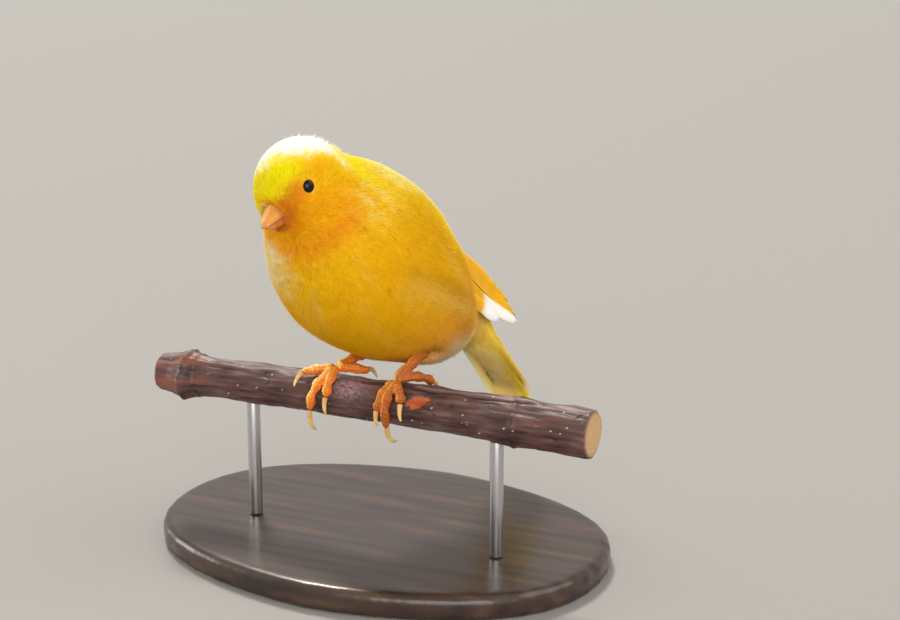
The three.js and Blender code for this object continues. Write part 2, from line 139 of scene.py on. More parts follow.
TAIL_BASE_ASIDE = -2.0
TAIL_SWELL = 0.5
SAME_CORNER = 0.004
EYE_PLACES = {"left": (4.5, 6.7, 2.3), "right": (4.5, -6.7, 2.3)}
EYE_AXIS = {"left": (0.47, 0.84, 0.27), "right": (0.47, -0.84, 0.27)}
COAT_DEPTH = {"face": 0.35, "head": 0.9, "body": 1.6}
RIPPLE_WAVES = 7
RIPPLE_EVEN = 3.2


def placed(points):
    """Bird points in millimetres (left, back, up from the branch between its feet) as row frame metres."""
    return (np.asarray(points, float) @ BIRD_TURN.T + BIRD_PLACE) * MM


def unplaced(points):
    """Row frame metres as bird points in millimetres."""
    return (np.asarray(points, float) / MM - BIRD_PLACE) @ BIRD_TURN


def on_head(points):
    """Bird points as (forward, left, up) in the head's own frame, in millimetres from its middle."""
    local = (np.asarray(points, float) - HEAD_MIDDLE) @ HEAD_TURNED
    return np.stack([-local[..., 1], local[..., 0], local[..., 2]], axis=-1)


def from_head(points):
    """Points of the head's own frame (forward, left, up) as bird points."""
    points = np.asarray(points, float)
    local = np.stack([points[..., 1], -points[..., 0], points[..., 2]], axis=-1)
    return local @ HEAD_TURNED.T + HEAD_MIDDLE


def unit(ways):
    """Every direction at length one."""
    return ways / np.linalg.norm(ways, axis=-1, keepdims=True)


def soft(x, low, high):
    """0 below low, 1 above high and a soft rise between."""
    part = np.clip((x - low) / (high - low), 0, 1)
    return part * part * (3 - 2 * part)


def ripple(points, size, seed):
    """A smooth random value from about -1 to 1 at each point, with waves of about that size in millimetres."""
    draw = np.random.default_rng(seed)
    total = np.zeros(len(points))
    for _ in range(RIPPLE_WAVES):
        way = draw.normal(size=3)
        way *= 2 * math.pi / size * draw.uniform(0.6, 1.5) / np.linalg.norm(way)
        total += np.sin(points @ way + draw.uniform(0, 6.28))
    return total / RIPPLE_EVEN


def linked(name, mesh):
    """A new object in the scene with that mesh."""
    piece = bpy.data.objects.new(name, mesh)
    bpy.context.scene.collection.objects.link(piece)
    return piece


def closed_up(name, made):
    """A new object with the mesh that was being made."""
    mesh = bpy.data.meshes.new(name)
    made.to_mesh(mesh)
    made.free()
    return linked(name, mesh)


def solid_copy(name, nodes):
    """A new object whose mesh joins the named solids, with their loose triangles merged."""
    made = bmesh.new()
    for node in nodes:
        made.from_mesh(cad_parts[node].data)
    bmesh.ops.remove_doubles(made, verts=made.verts, dist=SAME_CORNER * MM)
    return closed_up(name, made)


def modified(piece, kind, **values):
    """The piece with one modifier of that kind added and applied."""
    bpy.ops.object.select_all(action="DESELECT")
    bpy.context.view_layer.objects.active = piece
    piece.select_set(True)
    modifier = piece.modifiers.new(kind.lower(), kind)
    for key, value in values.items():
        setattr(modifier, key, value)
    bpy.ops.object.modifier_apply(modifier=modifier.name)
    return piece


def remeshed(piece, voxel, rounds):
    """The piece as one closed even mesh, with cells of that size in millimetres, smoothed that many times."""
    modified(piece, "REMESH", mode="VOXEL", voxel_size=voxel * MM)
    modified(piece, "SMOOTH", factor=0.5, iterations=rounds)


def joined(main, *others):
    """The other pieces' meshes joined into the main one's."""
    bpy.ops.object.select_all(action="DESELECT")
    for piece in (main, *others):
        piece.select_set(True)
    bpy.context.view_layer.objects.active = main
    bpy.ops.object.join()


def smooth_shaded(piece):
    piece.data.polygons.foreach_set("use_smooth", [True] * len(piece.data.polygons))
    piece.data.update()


def corners(mesh):
    """The mesh's vertices as an array of points."""
    flat = np.empty(len(mesh.vertices) * 3)
    mesh.vertices.foreach_get("co", flat)
    return flat.reshape(-1, 3)


def moved_to(mesh, points):
    mesh.vertices.foreach_set("co", np.asarray(points, float).ravel())
    mesh.update()


def outwards(mesh):
    """The mesh's vertex normals as an array."""
    flat = np.empty(len(mesh.vertices) * 3, np.float32)
    mesh.vertex_normals.foreach_get("vector", flat)
    return flat.reshape(-1, 3).astype(float)


def swollen(piece, by):
    """The piece made fatter all round by that many millimetres."""
    moved_to(piece.data, corners(piece.data) + outwards(piece.data) * by * MM)


def bird_shape(piece):
    """The piece's vertices as bird points, with the ways out of it there."""
    return unplaced(corners(piece.data)), outwards(piece.data) @ BIRD_TURN


def faces_of(piece):
    return [tuple(face.vertices) for face in piece.data.polygons]


def tree_of(points, faces):
    """A tree that finds the nearest place on the faces between the points."""
    return BVHTree.FromPolygons([tuple(p) for p in points], [tuple(f) for f in faces])


def tail_base():
    """The coverts' bulk round the tail's root: rings of (run along the tail, half width, height, depth)."""
    made = bmesh.new()
    turns = np.linspace(0, 2 * math.pi, TAIL_BASE_SIDES, endpoint=False)
    rings = []
    for run, half, above, below in TAIL_BASE:
        high = np.where(np.sin(turns) > 0, above, below) * np.sin(turns)
        ring = (TAIL_ROOT + TAIL_ALONG * run + np.outer(half * np.cos(turns) + TAIL_BASE_ASIDE, (1, 0, 0))
                + np.outer(high, TAIL_ABOVE))
        rings.append([made.verts.new(p) for p in placed(ring)])
    for one, two in zip(rings, rings[1:]):
        for k in range(TAIL_BASE_SIDES):
            after = (k + 1) % TAIL_BASE_SIDES
            made.faces.new((one[k], one[after], two[after], two[k]))
    made.faces.new(rings[0][::-1])
    made.faces.new(rings[-1])
    bmesh.ops.recalc_face_normals(made, faces=made.faces[:])
    return closed_up("tail_base", made)


coverts_bulk = tail_base()
skin = solid_copy("skin", ["head", "neck", "trunk", "eye_left", "eye_right"])
wing_fronts = solid_copy("wing_fronts", ["wing_left", "wing_right"])
wing_mesh = bmesh.new()
wing_mesh.from_mesh(wing_fronts.data)
bmesh.ops.bisect_plane(
    wing_mesh, geom=wing_mesh.verts[:] + wing_mesh.edges[:] + wing_mesh.faces[:],
    plane_co=placed(WING_CUT_AT), plane_no=BIRD_TURN @ np.array(WING_CUT_FACES), clear_outer=True,
)
bmesh.ops.holes_fill(wing_mesh, edges=wing_mesh.edges[:])
wing_mesh.to_mesh(wing_fronts.data)
wing_mesh.free()
for part in (skin, wing_fronts):
    swollen(part, GUIDE_SWELL)
joined(skin, coverts_bulk, wing_fronts)
remeshed(skin, GUIDE_VOXEL, 16)


def eye_frame(side_name):
    """An eye's place as a bird point, the way it looks and two ways across it."""
    looks = unit(from_head(np.array(EYE_AXIS[side_name])) - HEAD_MIDDLE)
    across = unit(np.cross(looks, (0, 0, 1.0)))
    return from_head(np.array(EYE_PLACES[side_name])), looks, across, np.cross(looks, across)


def bent(u, v):
    """The terms of a curved sheet over two ways across."""
    return np.stack([np.ones_like(u), u, v, u * u, u * v, v * v], axis=1)


def sockets_closed(points, out):
    """The outline carried smoothly over both eyes, as it runs round them."""
    for side_name in EYE_PLACES:
        place, looks, across, upward = eye_frame(side_name)
        off = points - place
        high, u, v = off @ looks, off @ across, off @ upward
        far = np.hypot(u, v)
        ring = (far > 3.0) & (far < 4.8) & (np.abs(high) < 4)
        fit = np.linalg.lstsq(bent(u[ring], v[ring]), high[ring], rcond=None)[0]
        share = ((1 - soft(far, 2.5, 3.2)) * (np.abs(high) < 4))[:, None]
        points = points + looks * share * (bent(u, v) @ fit - high)[:, None]
        slope_u, slope_v = fit[1] + 2 * fit[3] * u + fit[4] * v, fit[2] + fit[4] * u + 2 * fit[5] * v
        even = looks - across * slope_u[:, None] - upward * slope_v[:, None]
        out = unit(out * (1 - share) + unit(even) * share)
    return points, out


# The smooth outline that every feather follows, kept as a tree of faces with smooth normals. The tail's
# solid is joined to it, so that the long coverts lie down over the tail.
guide_points, guide_normals = sockets_closed(*bird_shape(skin))
guide_faces = faces_of(skin)
outline = linked("outline", skin.data.copy())
tail_solid = solid_copy("tail_solid", ["tail"])
swollen(tail_solid, TAIL_SWELL)
joined(outline, tail_solid)
remeshed(outline, GUIDE_VOXEL, 10)
lay_points, lay_normals = sockets_closed(*bird_shape(outline))
lay_faces = faces_of(outline)
guide = tree_of(lay_points, lay_faces)
bpy.data.objects.remove(outline)


def on_guide(points):
    """The nearest points of the outline, with its smooth outward direction there, for each bird point."""
    near = np.empty((len(points), 3))
    out = np.empty((len(points), 3))
    for i, point in enumerate(points):
        place, _, face, _ = guide.find_nearest(point)
        near[i] = place
        ring = lay_faces[face]
        weights = [1 / (1e-3 + (lay_points[k, 0] - place[0]) ** 2 + (lay_points[k, 1] - place[1]) ** 2
                        + (lay_points[k, 2] - place[2]) ** 2) for k in ring]
        out[i] = sum(lay_normals[k] * w for k, w in zip(ring, weights))
    return near, unit(out)


# Line through the bird from behind the bill to the tail's root, as (back, up)
SPINE = [(-26, 46.5), (-19.6, 48.5), (-13, 42.5), (-4, 34), (7, 25.5), (19, 18.5), (30, 11), (42, 2)]
SPINE_STEPS = 90
SPINE_REACH = 18
spine_run = np.array([(0, y, z) for y, z in SPINE], float)
spine_steps = np.concatenate([[0], np.cumsum(np.linalg.norm(np.diff(spine_run, axis=0), axis=1))])
spine_at = np.linspace(0, spine_steps[-1], SPINE_STEPS)
spine_fine = np.stack([np.interp(spine_at, spine_steps, spine_run[:, k]) for k in range(3)], axis=1)
spine_fine[1:-1] = (spine_fine[:-2] + 2 * spine_fine[1:-1] + spine_fine[2:]) / 4
spine_ahead = unit(np.gradient(spine_fine, axis=0))


def by_spine(points):
    """For each bird point its share of the way along the spine, its angle round it (0 above) and the way ahead."""
    apart = ((points[:, None, 1:] - spine_fine[None, :, 1:]) ** 2).sum(axis=2)
    weight = np.exp(-(apart - apart.min(axis=1, keepdims=True)) / SPINE_REACH)
    weight /= weight.sum(axis=1, keepdims=True)
    ahead = unit(weight @ spine_ahead)
    off = points - weight @ spine_fine
    above = np.cross(np.array((1.0, 0, 0)), ahead)
    share = weight @ np.linspace(0, 1, SPINE_STEPS)
    return share, np.arctan2(off[:, 0], (off * above).sum(axis=1)), ahead


# Colours of the plumage: the bill's root and two directions that the pale parts face or turn from.
# Where the plumage faces LIGHT_SIDE, the key light's direction, it is painted paler, as painted light.
BILL_ROOT = from_head((8.6, 0, -2.2))
LIGHT_SIDE = np.array((-0.378, 0.416, 0.827)) @ BIRD_TURN
PALE_TO = np.array((0.407, -0.874, 0.266)) @ BIRD_TURN
PALE_BREAST_TO = np.array((-0.743, -0.669, 0.1))
BRIDLE = np.array(((9.8, 3.2, -0.6), (7.4, 6.2, 2.6)))
BEHIND_CHEEK = np.array((8.6, -10.5, 45.5))
WING_LINE = ((-14, -6, 3, 9, 15, 22, 30, 40), (31, 29.5, 25.8, 22.8, 19.6, 16.2, 11.8, 5))


def tone(red, green, blue):
    """An sRGB colour of 0 to 255 as linear values."""
    share = np.array((red, green, blue)) / 255
    return np.where(share <= 0.04045, share / 12.92, ((share + 0.055) / 1.055) ** 2.4)


def tones(**colours):
    """Named sRGB colours as linear values."""
    return {name: tone(*colour) for name, colour in colours.items()}


def laid_over(colour, *layers):
    """Tints laid over the first one after another: each is (colour, mask at every point)."""
    for shade, mask in layers:
        mask = np.clip(mask, 0, 1)[:, None]
        colour = colour * (1 - mask) + shade * mask
    return colour


TINTS = tones(
    yellow=(251, 188, 10), back=(254, 206, 14), forehead=(255, 231, 6), crown=(254, 251, 240),
    cheek=(250, 170, 6), throat=(242, 150, 20), lores=(216, 106, 22), nape=(255, 233, 134),
    bib=(250, 230, 168), streak=(248, 206, 104), breast=(249, 180, 10), flank=(240, 168, 34),
    belly=(230, 150, 40), vent=(226, 202, 160), under_tail=(255, 216, 138), tail_side=(255, 206, 62),
)


def over_wing_line(points):
    """How far bird points are above the line where the flank's feathers cover the folded wing's lower edge."""
    return points[:, 2] - np.interp(points[:, 1], *WING_LINE)


def markings(points, out):
    """The plumage's colour at bird points whose outline faces out, as linear values, with painted light and shade
    where it faces towards or away from the key light.
    """
    head = on_head(points)
    forward, left, up = head.T
    from_middle = np.linalg.norm(head, axis=1)
    share, angle, _ = by_spine(points)
    downward = -np.cos(angle)
    sunny = out @ LIGHT_SIDE
    patchy = ripple(points, 7, 3) * 0.5 + ripple(points, 3, 4) * 0.5
    fine = ripple(points, 1.7, 6)
    spotty = 0.6 * patchy + 0.6 * fine
    colour = np.tile(TINTS["yellow"], (len(points), 1))

    def laid(name, mask):
        colour[:] = laid_over(colour, (TINTS[name], mask))

    # Trunk and tail coverts
    # Painted light: the paler back yellow where the plumage faces the key light. Painted shade: the deeper breast
    # yellow where it turns from it, and the belly's darker orange towards the underside, partly its own colour and
    # partly painted shade.
    laid("back", soft(sunny + 0.1 * patchy, -0.1, 0.5))
    laid("breast", soft(share, 0.2, 0.35) * soft(-sunny, -0.35, 0.15))
    laid("flank", soft(share, 0.5, 0.72) * soft(np.abs(angle), 0.8, 1.6))
    laid("belly", soft(share, 0.42, 0.66) * soft(downward, -0.2, 0.9))
    vent = soft(share + 0.03 * patchy, 0.60, 0.72) * soft(downward, 0.2, 0.75)
    laid("vent", vent * soft(-points[:, 2], -12, -7))
    tail_run = soft((points - TAIL_ROOT) @ TAIL_ALONG, 4, 13) * soft(-points[:, 2], -16, -8)
    laid("under_tail", tail_run)
    laid("tail_side", tail_run * soft(points[:, 0] + 0.6 * patchy, 1.6, 4.2) * 0.85)
    behind_head = soft(share, 0.13, 0.24) * (1 - soft(share, 0.36, 0.56))
    # Painted rim light: the pale nape tint where the back of the neck faces the key light.
    laid("nape", soft(sunny + 0.12 * patchy, 0.26, 0.64) * behind_head * 0.9)

    # Cheeks, throat and forehead
    in_head = 1 - soft(from_middle, 12, 19)
    laid("cheek", in_head * soft(-up + 2.5 + patchy, -1, 5) * soft(forward + 1.5 * patchy, -8, 1))
    laid("throat", in_head * soft(-up - 0.3 * forward + 1.2 * patchy, 4.2, 8.5) * soft(forward, -4, 3))
    laid("forehead", soft(forward - 1.2, 0, 5) * soft(up + 0.6 * patchy, 1.2, 4.2))

    # Lores: warm feathers from the bill's root to the eye and round it, on the left side most; on the
    # right side, where the key light falls, a painted pale lemon takes their place, as painted light
    near_side = 1 - 0.85 * soft(-left, 1, 4)
    near_bill = 1 - soft(np.linalg.norm(points - BILL_ROOT, axis=1), 2.6, 6.8)
    laid("lores", near_bill * soft(np.abs(left), 1.2, 3.4) * soft(-up, -3.0, 1.5) * 0.7 * near_side)
    aside = np.stack([forward, np.abs(left), up], axis=1)
    along = BRIDLE[1] - BRIDLE[0]
    run = np.clip((aside - BRIDLE[0]) @ along / (along ** 2).sum(), 0, 1)
    from_bridle = np.linalg.norm(aside - BRIDLE[0] - run[:, None] * along, axis=1)
    laid("lores", np.exp(-(from_bridle / 2.5) ** 4) * 0.66 * near_side)
    from_eye = np.linalg.norm(aside - np.array(EYE_PLACES["left"]), axis=1)
    laid("lores", 0.34 * np.exp(-((from_eye - 3.0) / 1.3) ** 2) * soft(up, 1.5, 4.0) * near_side)
    # Painted light: the far, lit side of the face in pale lemon.
    laid("forehead", (1 - near_side) * soft(forward, 0, 4) * soft(up, -5, -1) * 0.8)

    # Back of the head, and the pale crown: partly frosted tips and partly painted light, lemon and then
    # white where the head faces the key light
    laid("back", in_head * soft(-forward, -1, 5) * soft(up, -3, 3) * 0.6)
    from_spot = np.linalg.norm(points * np.array((0.7, 1, 1)) - BEHIND_CHEEK, axis=1)
    laid("nape", np.exp(-(from_spot / 4.6) ** 2) * soft(ripple(points, 2.6, 12) + 0.5 * fine, -0.6, 0.9) * 0.6)
    # Painted light: lemon on the head where it faces the key light, and white on the crown where it faces it most.
    laid("forehead", in_head * soft(sunny + 0.12 * spotty, 0.12, 0.34) * 0.8)
    rear = soft(-forward, 5.5, 8.5) * (1 - soft(sunny, 0.55, 0.75))
    far_side = soft(-(out @ PALE_TO) + 0.1 * spotty, 0.1, 0.6)
    on_crown = (1 - soft(from_middle, 11.0, 13.0)) * soft(sunny + 0.15 * spotty * (1 - rear), 0.15, 0.45)
    laid("crown", on_crown * (1 - 0.95 * rear) * (1 - 0.8 * far_side))

    # Pale bib, partly pale feathers and partly a painted rim highlight along the breast's edge, streaks along
    # the trunk, and painted shade and a painted highlight on the feathers beside the wing's lower edge
    bib = soft(out @ PALE_BREAST_TO + 0.22 * spotty, 0.45, 1.0) * soft(from_middle + 0.8 * patchy, 12.8, 16.5)
    laid("bib", bib * soft(points[:, 2], 19, 30) * 0.9 * (1 - 0.9 * far_side))
    running = np.stack([angle * 13, share * 16, 0 * share], axis=1)
    streaky = 0.6 * ripple(running, 3.2, 9) + 0.5 * ripple(running, 7, 10)
    laid("streak", soft(streaky, 0.1, 1.1) * soft(share, 0.12, 0.28) * (1 - soft(share, 0.62, 0.8)) * 0.42)
    colour *= (1 - 0.13 * soft(-streaky, 0.1, 1.1) * soft(share, 0.05, 0.2))[:, None]
    over_line = over_wing_line(points) + 0.5 * patchy
    beside = soft(np.abs(points[:, 0]), 7, 10) * soft(points[:, 1], -9, 0)
    # Painted shade above the line where the flank's feathers cover the wing, and a painted highlight in the streak
    # tint below it.
    colour *= (1 - 0.26 * beside * np.exp(-((over_line - 1.0) / 1.3) ** 2))[:, None]
    laid("streak", 0.40 * beside * np.exp(-((over_line + 2.6) / 2.2) ** 2))
    return colour


# Depth of the plumage over the skin
def fur_measures(points):
    """How far each bird point is face, head and body, as three shares that add up to one."""
    head = on_head(points)
    behind = soft(-head[:, 0] * 0.75 - head[:, 2] * 0.75, 5, 15)
    near_bill = 1 - soft(np.linalg.norm(points - BILL_ROOT, axis=1), 3.2, 8.0)
    near_eye = np.zeros(len(points))
    for place in EYE_PLACES.values():
        near_eye = np.maximum(near_eye, 1 - soft(np.linalg.norm(head - np.array(place), axis=1), 2.4, 4.6))
    face = np.clip(np.maximum(near_bill, near_eye), 0, 1) * (1 - behind)
    return face, (1 - face) * (1 - behind), behind


def mixed(points, values):
    """A measure given for face, head and body, blended at each bird point."""
    face, head, body = fur_measures(points)
    return face * values["face"] + head * values["head"] + body * values["body"]


sunk = guide_points - guide_normals * mixed(guide_points, COAT_DEPTH)[:, None]
moved_to(skin.data, placed(sunk))
modified(skin, "SMOOTH", factor=0.5, iterations=3)
smooth_shaded(skin)


def tinted(mesh, colours):
    """A colour at each vertex of the mesh, kept as its tint."""
    layer = mesh.color_attributes.new("tint", "FLOAT_COLOR", "POINT")
    values = np.ones((len(mesh.vertices), 4), np.float32)
    values[:, :3] = colours
    layer.data.foreach_set("color", values.ravel())


# Painted shade: the skin under the coat is tinted darker than the feathers over it.
SKIN_SHADE = 0.82
tinted(skin.data, markings(guide_points, guide_normals) * SKIN_SHADE)


def added(nodes, kind, values=(), **settings):
    """A new shader node of that kind, with its settings and the values of its sockets."""
    made = nodes.new(f"ShaderNode{kind}")
    for key, value in settings.items():
        setattr(made, key, value)
    for key, value in dict(values).items():
        made.inputs[key].default_value = value
    return made


def material(name, roughness, **sockets):
    """A new material that takes its mesh's tint, with its Principled shader, that tint, its nodes and links."""
    made = bpy.data.materials.new(name)
    made.use_nodes = True
    nodes, links = made.node_tree.nodes, made.node_tree.links
    shader = nodes["Principled BSDF"]
    for key, value in {"Roughness": roughness, **sockets}.items():
        shader.inputs[key.replace("_", " ")].default_value = value
    tint = added(nodes, "VertexColor", layer_name="tint")
    links.new(tint.outputs["Color"], shader.inputs["Base Color"])
    return made, shader, tint, nodes, links


plumage_finish, *_ = material("plumage", 0.7, Specular_IOR_Level=0.1)
skin.data.materials.append(plumage_finish)
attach(skin, "root")
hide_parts("head", "neck", "trunk")


# Coat: the contour feathers, soft and yellow, in tufts that each grow from one point of the skin. A
# tuft is a few thin tapering strands that fan out a little and lie back over the next ones.
SPACING = {"face": 0.34, "head": 0.40, "body": 0.60}
STRANDS = {"face": 5, "head": 6, "body": 7}
LENGTH = {"face": 1.25, "head": 2.3, "body": 4.4}
WIDTH = {"face": 0.11, "head": 0.135, "body": 0.19}
FAN = {"face": 14, "head": 15, "body": 17}
TUFT_TRIES = 110000
THICKNESS_SHARE = 0.25
LOWER_BARBS_FACE = (0.35, -0.93, -0.05)
LOWER_BARBS = 0.9
SOFT_NORMALS = 0.8
SIDE_LEAN = 1.6
WING_VANES_FROM = (18.0, 25.0)
EYE_OPENING = 1.45
BILL_HALF = (3.1, 3.3)
BARE_LID = 0.15
ON_WING = 0.7
draw = np.random.default_rng(41)


def scattered(spacing_of, tries, seed):
    """Points spread evenly at random over the outline, no two closer than the spacing wanted there."""
    pick = np.random.default_rng(seed)
    triangles = []
    for face in guide_faces:
        for k in range(2, len(face)):
            triangles.append((face[0], face[k - 1], face[k]))
    triangles = np.array(triangles)
    a, b, c = (guide_points[triangles[:, k]] for k in range(3))
    areas = np.linalg.norm(np.cross(b - a, c - a), axis=1)
    chosen = pick.choice(len(triangles), tries, p=areas / areas.sum())
    u, v = pick.random((2, tries))
    fold = u + v > 1
    u[fold], v[fold] = 1 - u[fold], 1 - v[fold]
    u, v = u[:, None], v[:, None]
    points = a[chosen] * (1 - u - v) + b[chosen] * u + c[chosen] * v
    normals = (guide_normals[triangles[chosen, 0]] * (1 - u - v) + guide_normals[triangles[chosen, 1]] * u
               + guide_normals[triangles[chosen, 2]] * v)
    spacing = spacing_of(points)
    around = [(dx, dy, dz) for dx in (-1, 0, 1) for dy in (-1, 0, 1) for dz in (-1, 0, 1)]
    cells, kept = {}, []
    keys = np.floor(points / float(spacing.max())).astype(int)
    for i in range(tries):
        x, y, z = keys[i]
        px, py, pz = points[i]
        room = spacing[i] ** 2
        if all((px - qx) ** 2 + (py - qy) ** 2 + (pz - qz) ** 2 >= room for dx, dy, dz in around
               for qx, qy, qz in cells.get((x + dx, y + dy, z + dz), ())):
            cells.setdefault((x, y, z), []).append((px, py, pz))
            kept.append(i)
    return points[kept], unit(normals[kept])


def flow(points, out):
    """Which way the feathers lie at bird points: away from the bill over the head, then along the spine."""
    share, _, ahead = by_spine(points)
    head = on_head(points)
    away = unit(points - BILL_ROOT)
    back = soft(-head[:, 0] * 0.8 - head[:, 2] * 0.6, 0, 12)[:, None]
    on_tail = soft(share, 0.84, 0.96)[:, None]
    way = away * (1 - back) + (ahead * (1 - on_tail) + TAIL_ALONG * on_tail) * back
    return unit(way - out * (way * out).sum(axis=1, keepdims=True))


def off_eye(points, side_name):
    """How bird points lie from an eye: across it as vectors with their lengths, and in front of it or behind."""
    place, looks, _, _ = eye_frame(side_name)
    off = points - place
    ahead = off @ looks
    across = off - looks * ahead[:, None]
    return across, np.linalg.norm(across, axis=1), ahead


# Roots of the tufts, but none on the flight feathers, the eyes, the bill and the tail's end
roots, root_out = scattered(lambda p: mixed(p, SPACING), TUFT_TRIES, 5)
wing_solids = solid_copy("wing_solids", ["wing_left", "wing_right"])
wing_tree = tree_of(unplaced(corners(wing_solids.data)), faces_of(wing_solids))
bpy.data.objects.remove(wing_solids)
on_wing = np.array([wing_tree.find_nearest(p)[3] < ON_WING for p in roots])
head_at = on_head(roots)
bare = on_wing & (roots[:, 1] > draw.uniform(*WING_VANES_FROM, len(roots))) & (over_wing_line(roots) > -0.6)
for side_name in EYE_PLACES:
    _, far, ahead = off_eye(roots, side_name)
    bare |= (far < EYE_OPENING + BARE_LID) & (ahead > 0)
bill_off = np.hypot(head_at[:, 1] / BILL_HALF[0], (head_at[:, 2] + 1.8) / BILL_HALF[1])
bare |= (bill_off < 1) & (head_at[:, 0] > 5)
bare |= root_out @ TAIL_ALONG > 0.6 + soft(-roots[:, 1], -34, -30)
roots, root_out = roots[~bare], root_out[~bare]

# Every strand of every tuft: where it starts, which way it heads, how long and how wide it is
root_flow = flow(roots, root_out)
root_side = np.cross(root_out, root_flow)
face_share, head_share, body_share = fur_measures(roots)
share, angle, _ = by_spine(roots)
head_at = on_head(roots)
strands = np.round(mixed(roots, STRANDS)).astype(int)
owner = np.repeat(np.arange(len(roots)), strands)
order = np.concatenate([np.linspace(-1, 1, n) for n in strands])
count = len(owner)
length = mixed(roots, LENGTH)[owner] * draw.uniform(0.72, 1.12, count)
width = mixed(roots, WIDTH)[owner] * draw.uniform(0.8, 1.2, count)
fluffy = soft(share, 0.58, 0.70) * soft(-np.cos(angle), -0.1, 0.5)
coverts = soft(share, 0.80, 0.86)
length *= (1 + 0.45 * fluffy + 1.1 * coverts)[owner]
fan = np.radians(mixed(roots, FAN)[owner] * (order + draw.normal(0, 0.22, count))
                 + draw.normal(0, 5, len(roots))[owner])
spread = mixed(roots, SPACING)[owner]
depth = mixed(roots, COAT_DEPTH)[owner]
start = roots[owner] + root_side[owner] * (spread * (0.42 * order + draw.normal(0, 0.12, count)))[:, None]
start += root_flow[owner] * (spread * draw.uniform(-0.5, 0.5, count))[:, None]
heading = root_flow[owner] * np.cos(fan)[:, None] + root_side[owner] * np.sin(fan)[:, None]

# Loose feather tips: most on the back of the crown and the nape, a few along the body
ruffled = np.exp(-((head_at[:, 0] + 8.5) / 3.2) ** 2) * soft(head_at[:, 2], -1, 4)
stands = draw.random(count) < 0.004 + 0.10 * ruffled[owner]
lift = 0.05 + 0.10 * draw.random(count) * body_share[owner] + np.where(stands, draw.uniform(0.3, 1.1, count), 0)
lift += (fluffy * (1 - coverts))[owner] * draw.uniform(0.1, 1.1, count)

# Places where the feathers stand out, each with how far and how wide: over the heels, which the thigh's
# feathers cover, and along the flanks, where they lie over the folded wing's lower edge, and over its upper edge
HEEL_COVER = (2.0, 3.8)
HEEL_COVER_DOWN = 0.3
FLANK_COVERS = (((11.5, 24.0, 12.5), 1.6, 5.0), ((15.5, 16.0, 16.5), 1.0, 5.0), ((17.8, 5.0, 22.0), 0.9, 5.0))
BACK_COVERS = (((6.5, 10.0, 43.0), 0.8, 5.0), ((5.5, 17.0, 38.0), 1.5, 6.0))
stand_out = [((x * sign, y, z), rise, wide) for (x, y, z), rise, wide in FLANK_COVERS + BACK_COVERS
             for sign in (1, -1)]
for leg in ("leg_left", "leg_right"):
    leg_points = unplaced(corners(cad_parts[leg].data))
    heel = leg_points[np.argsort(leg_points[:, 1])[-6:]].mean(0)
    ankle = leg_points[np.argsort(leg_points[:, 2])[:6]].mean(0)
    stand_out.append((heel + (ankle - heel) * HEEL_COVER_DOWN, *HEEL_COVER))

# The strands laid along the outline, each from its root in the skin to its raised tip, and round the eyes
STATIONS = (0.0, 0.45, 1.0)
HEIGHTS = (-1.0, -0.3, 0.0)
WIDTHS = (0.8, 1.0)
spots, ups = [], []
for station, height in zip(STATIONS, HEIGHTS):
    near, out = on_guide(start + heading * (length * station)[:, None])
    raised = sum(rise * np.exp(-(np.linalg.norm(near - np.array(at), axis=1) / wide) ** 2)
                 for at, rise, wide in stand_out)
    near = near + out * (raised * station ** 0.5)[:, None]
    for side_name in EYE_PLACES:
        off, far, ahead = off_eye(near, side_name)
        inside = (far < EYE_OPENING) & (ahead > 0)
        near[inside] += off[inside] * (EYE_OPENING / far[inside] - 1)[:, None]
    spots.append(near + out * (height * depth + lift * station ** 2)[:, None])
    ups.append(out)

STRAND_FACES = np.array([
    (0, 1, 2), (0, 3, 4), (0, 4, 1), (1, 4, 5), (1, 5, 2), (2, 5, 3), (2, 3, 0), (3, 6, 4), (4, 6, 5), (5, 6, 3),
])


def strand_corners(spots, sides, ups, halves, thickness):
    """The seven corners of each strand: three round its root, three round its middle and its tip."""
    made = np.empty((len(spots[0]), 7, 3))
    for k in (0, 1):
        made[:, 3 * k] = spots[k] + sides[k] * halves[k]
        made[:, 3 * k + 1] = spots[k] - sides[k] * halves[k]
        made[:, 3 * k + 2] = spots[k] + ups[k] * halves[k] * thickness
    made[:, 6] = spots[2]
    return made


sides = [np.cross(ups[k], spots[k + 1] - spots[0]) for k in (0, 1)]
sides = [side / np.maximum(np.linalg.norm(side, axis=1, keepdims=True), 1e-6) for side in sides]
halves = [(width * wide / 2)[:, None] for wide in WIDTHS]
corners_laid = strand_corners(spots, sides, ups, halves, 2 * THICKNESS_SHARE)
corner_out = np.empty((count, 7, 3))
corner_out[:, 6] = ups[2]
for k in (0, 1):
    for corner, lean in enumerate((1, -1, 0)):
        leaning = SOFT_NORMALS * ups[k] + (1 - SOFT_NORMALS) * lean * sides[k] * SIDE_LEAN
        corner_out[:, k * 3 + corner] = unit(leaning)

on_tail = soft(share, 0.84, 0.94)[owner][:, None, None]
corner_out -= on_tail * (corner_out @ TAIL_ALONG)[..., None] * TAIL_ALONG
under_tail = (soft(share, 0.82, 0.92) * soft(-(root_out @ TAIL_ABOVE), 0, 0.5))[owner][:, None, None] * LOWER_BARBS
corner_out = corner_out * (1 - under_tail) + np.array(LOWER_BARBS_FACE) * under_tail
shown, shown_out = on_guide(roots + root_flow * (mixed(roots, LENGTH) * 0.4)[:, None])
tuft_tints = markings(shown, shown_out)
tuft_tints *= (1 + draw.normal(0, 0.06, (len(roots), 1))) * (1 + draw.normal(0, 0.02, (len(roots), 3)))
strand_tints = tuft_tints[owner] * (1 + draw.normal(0, 0.055, (count, 1)))
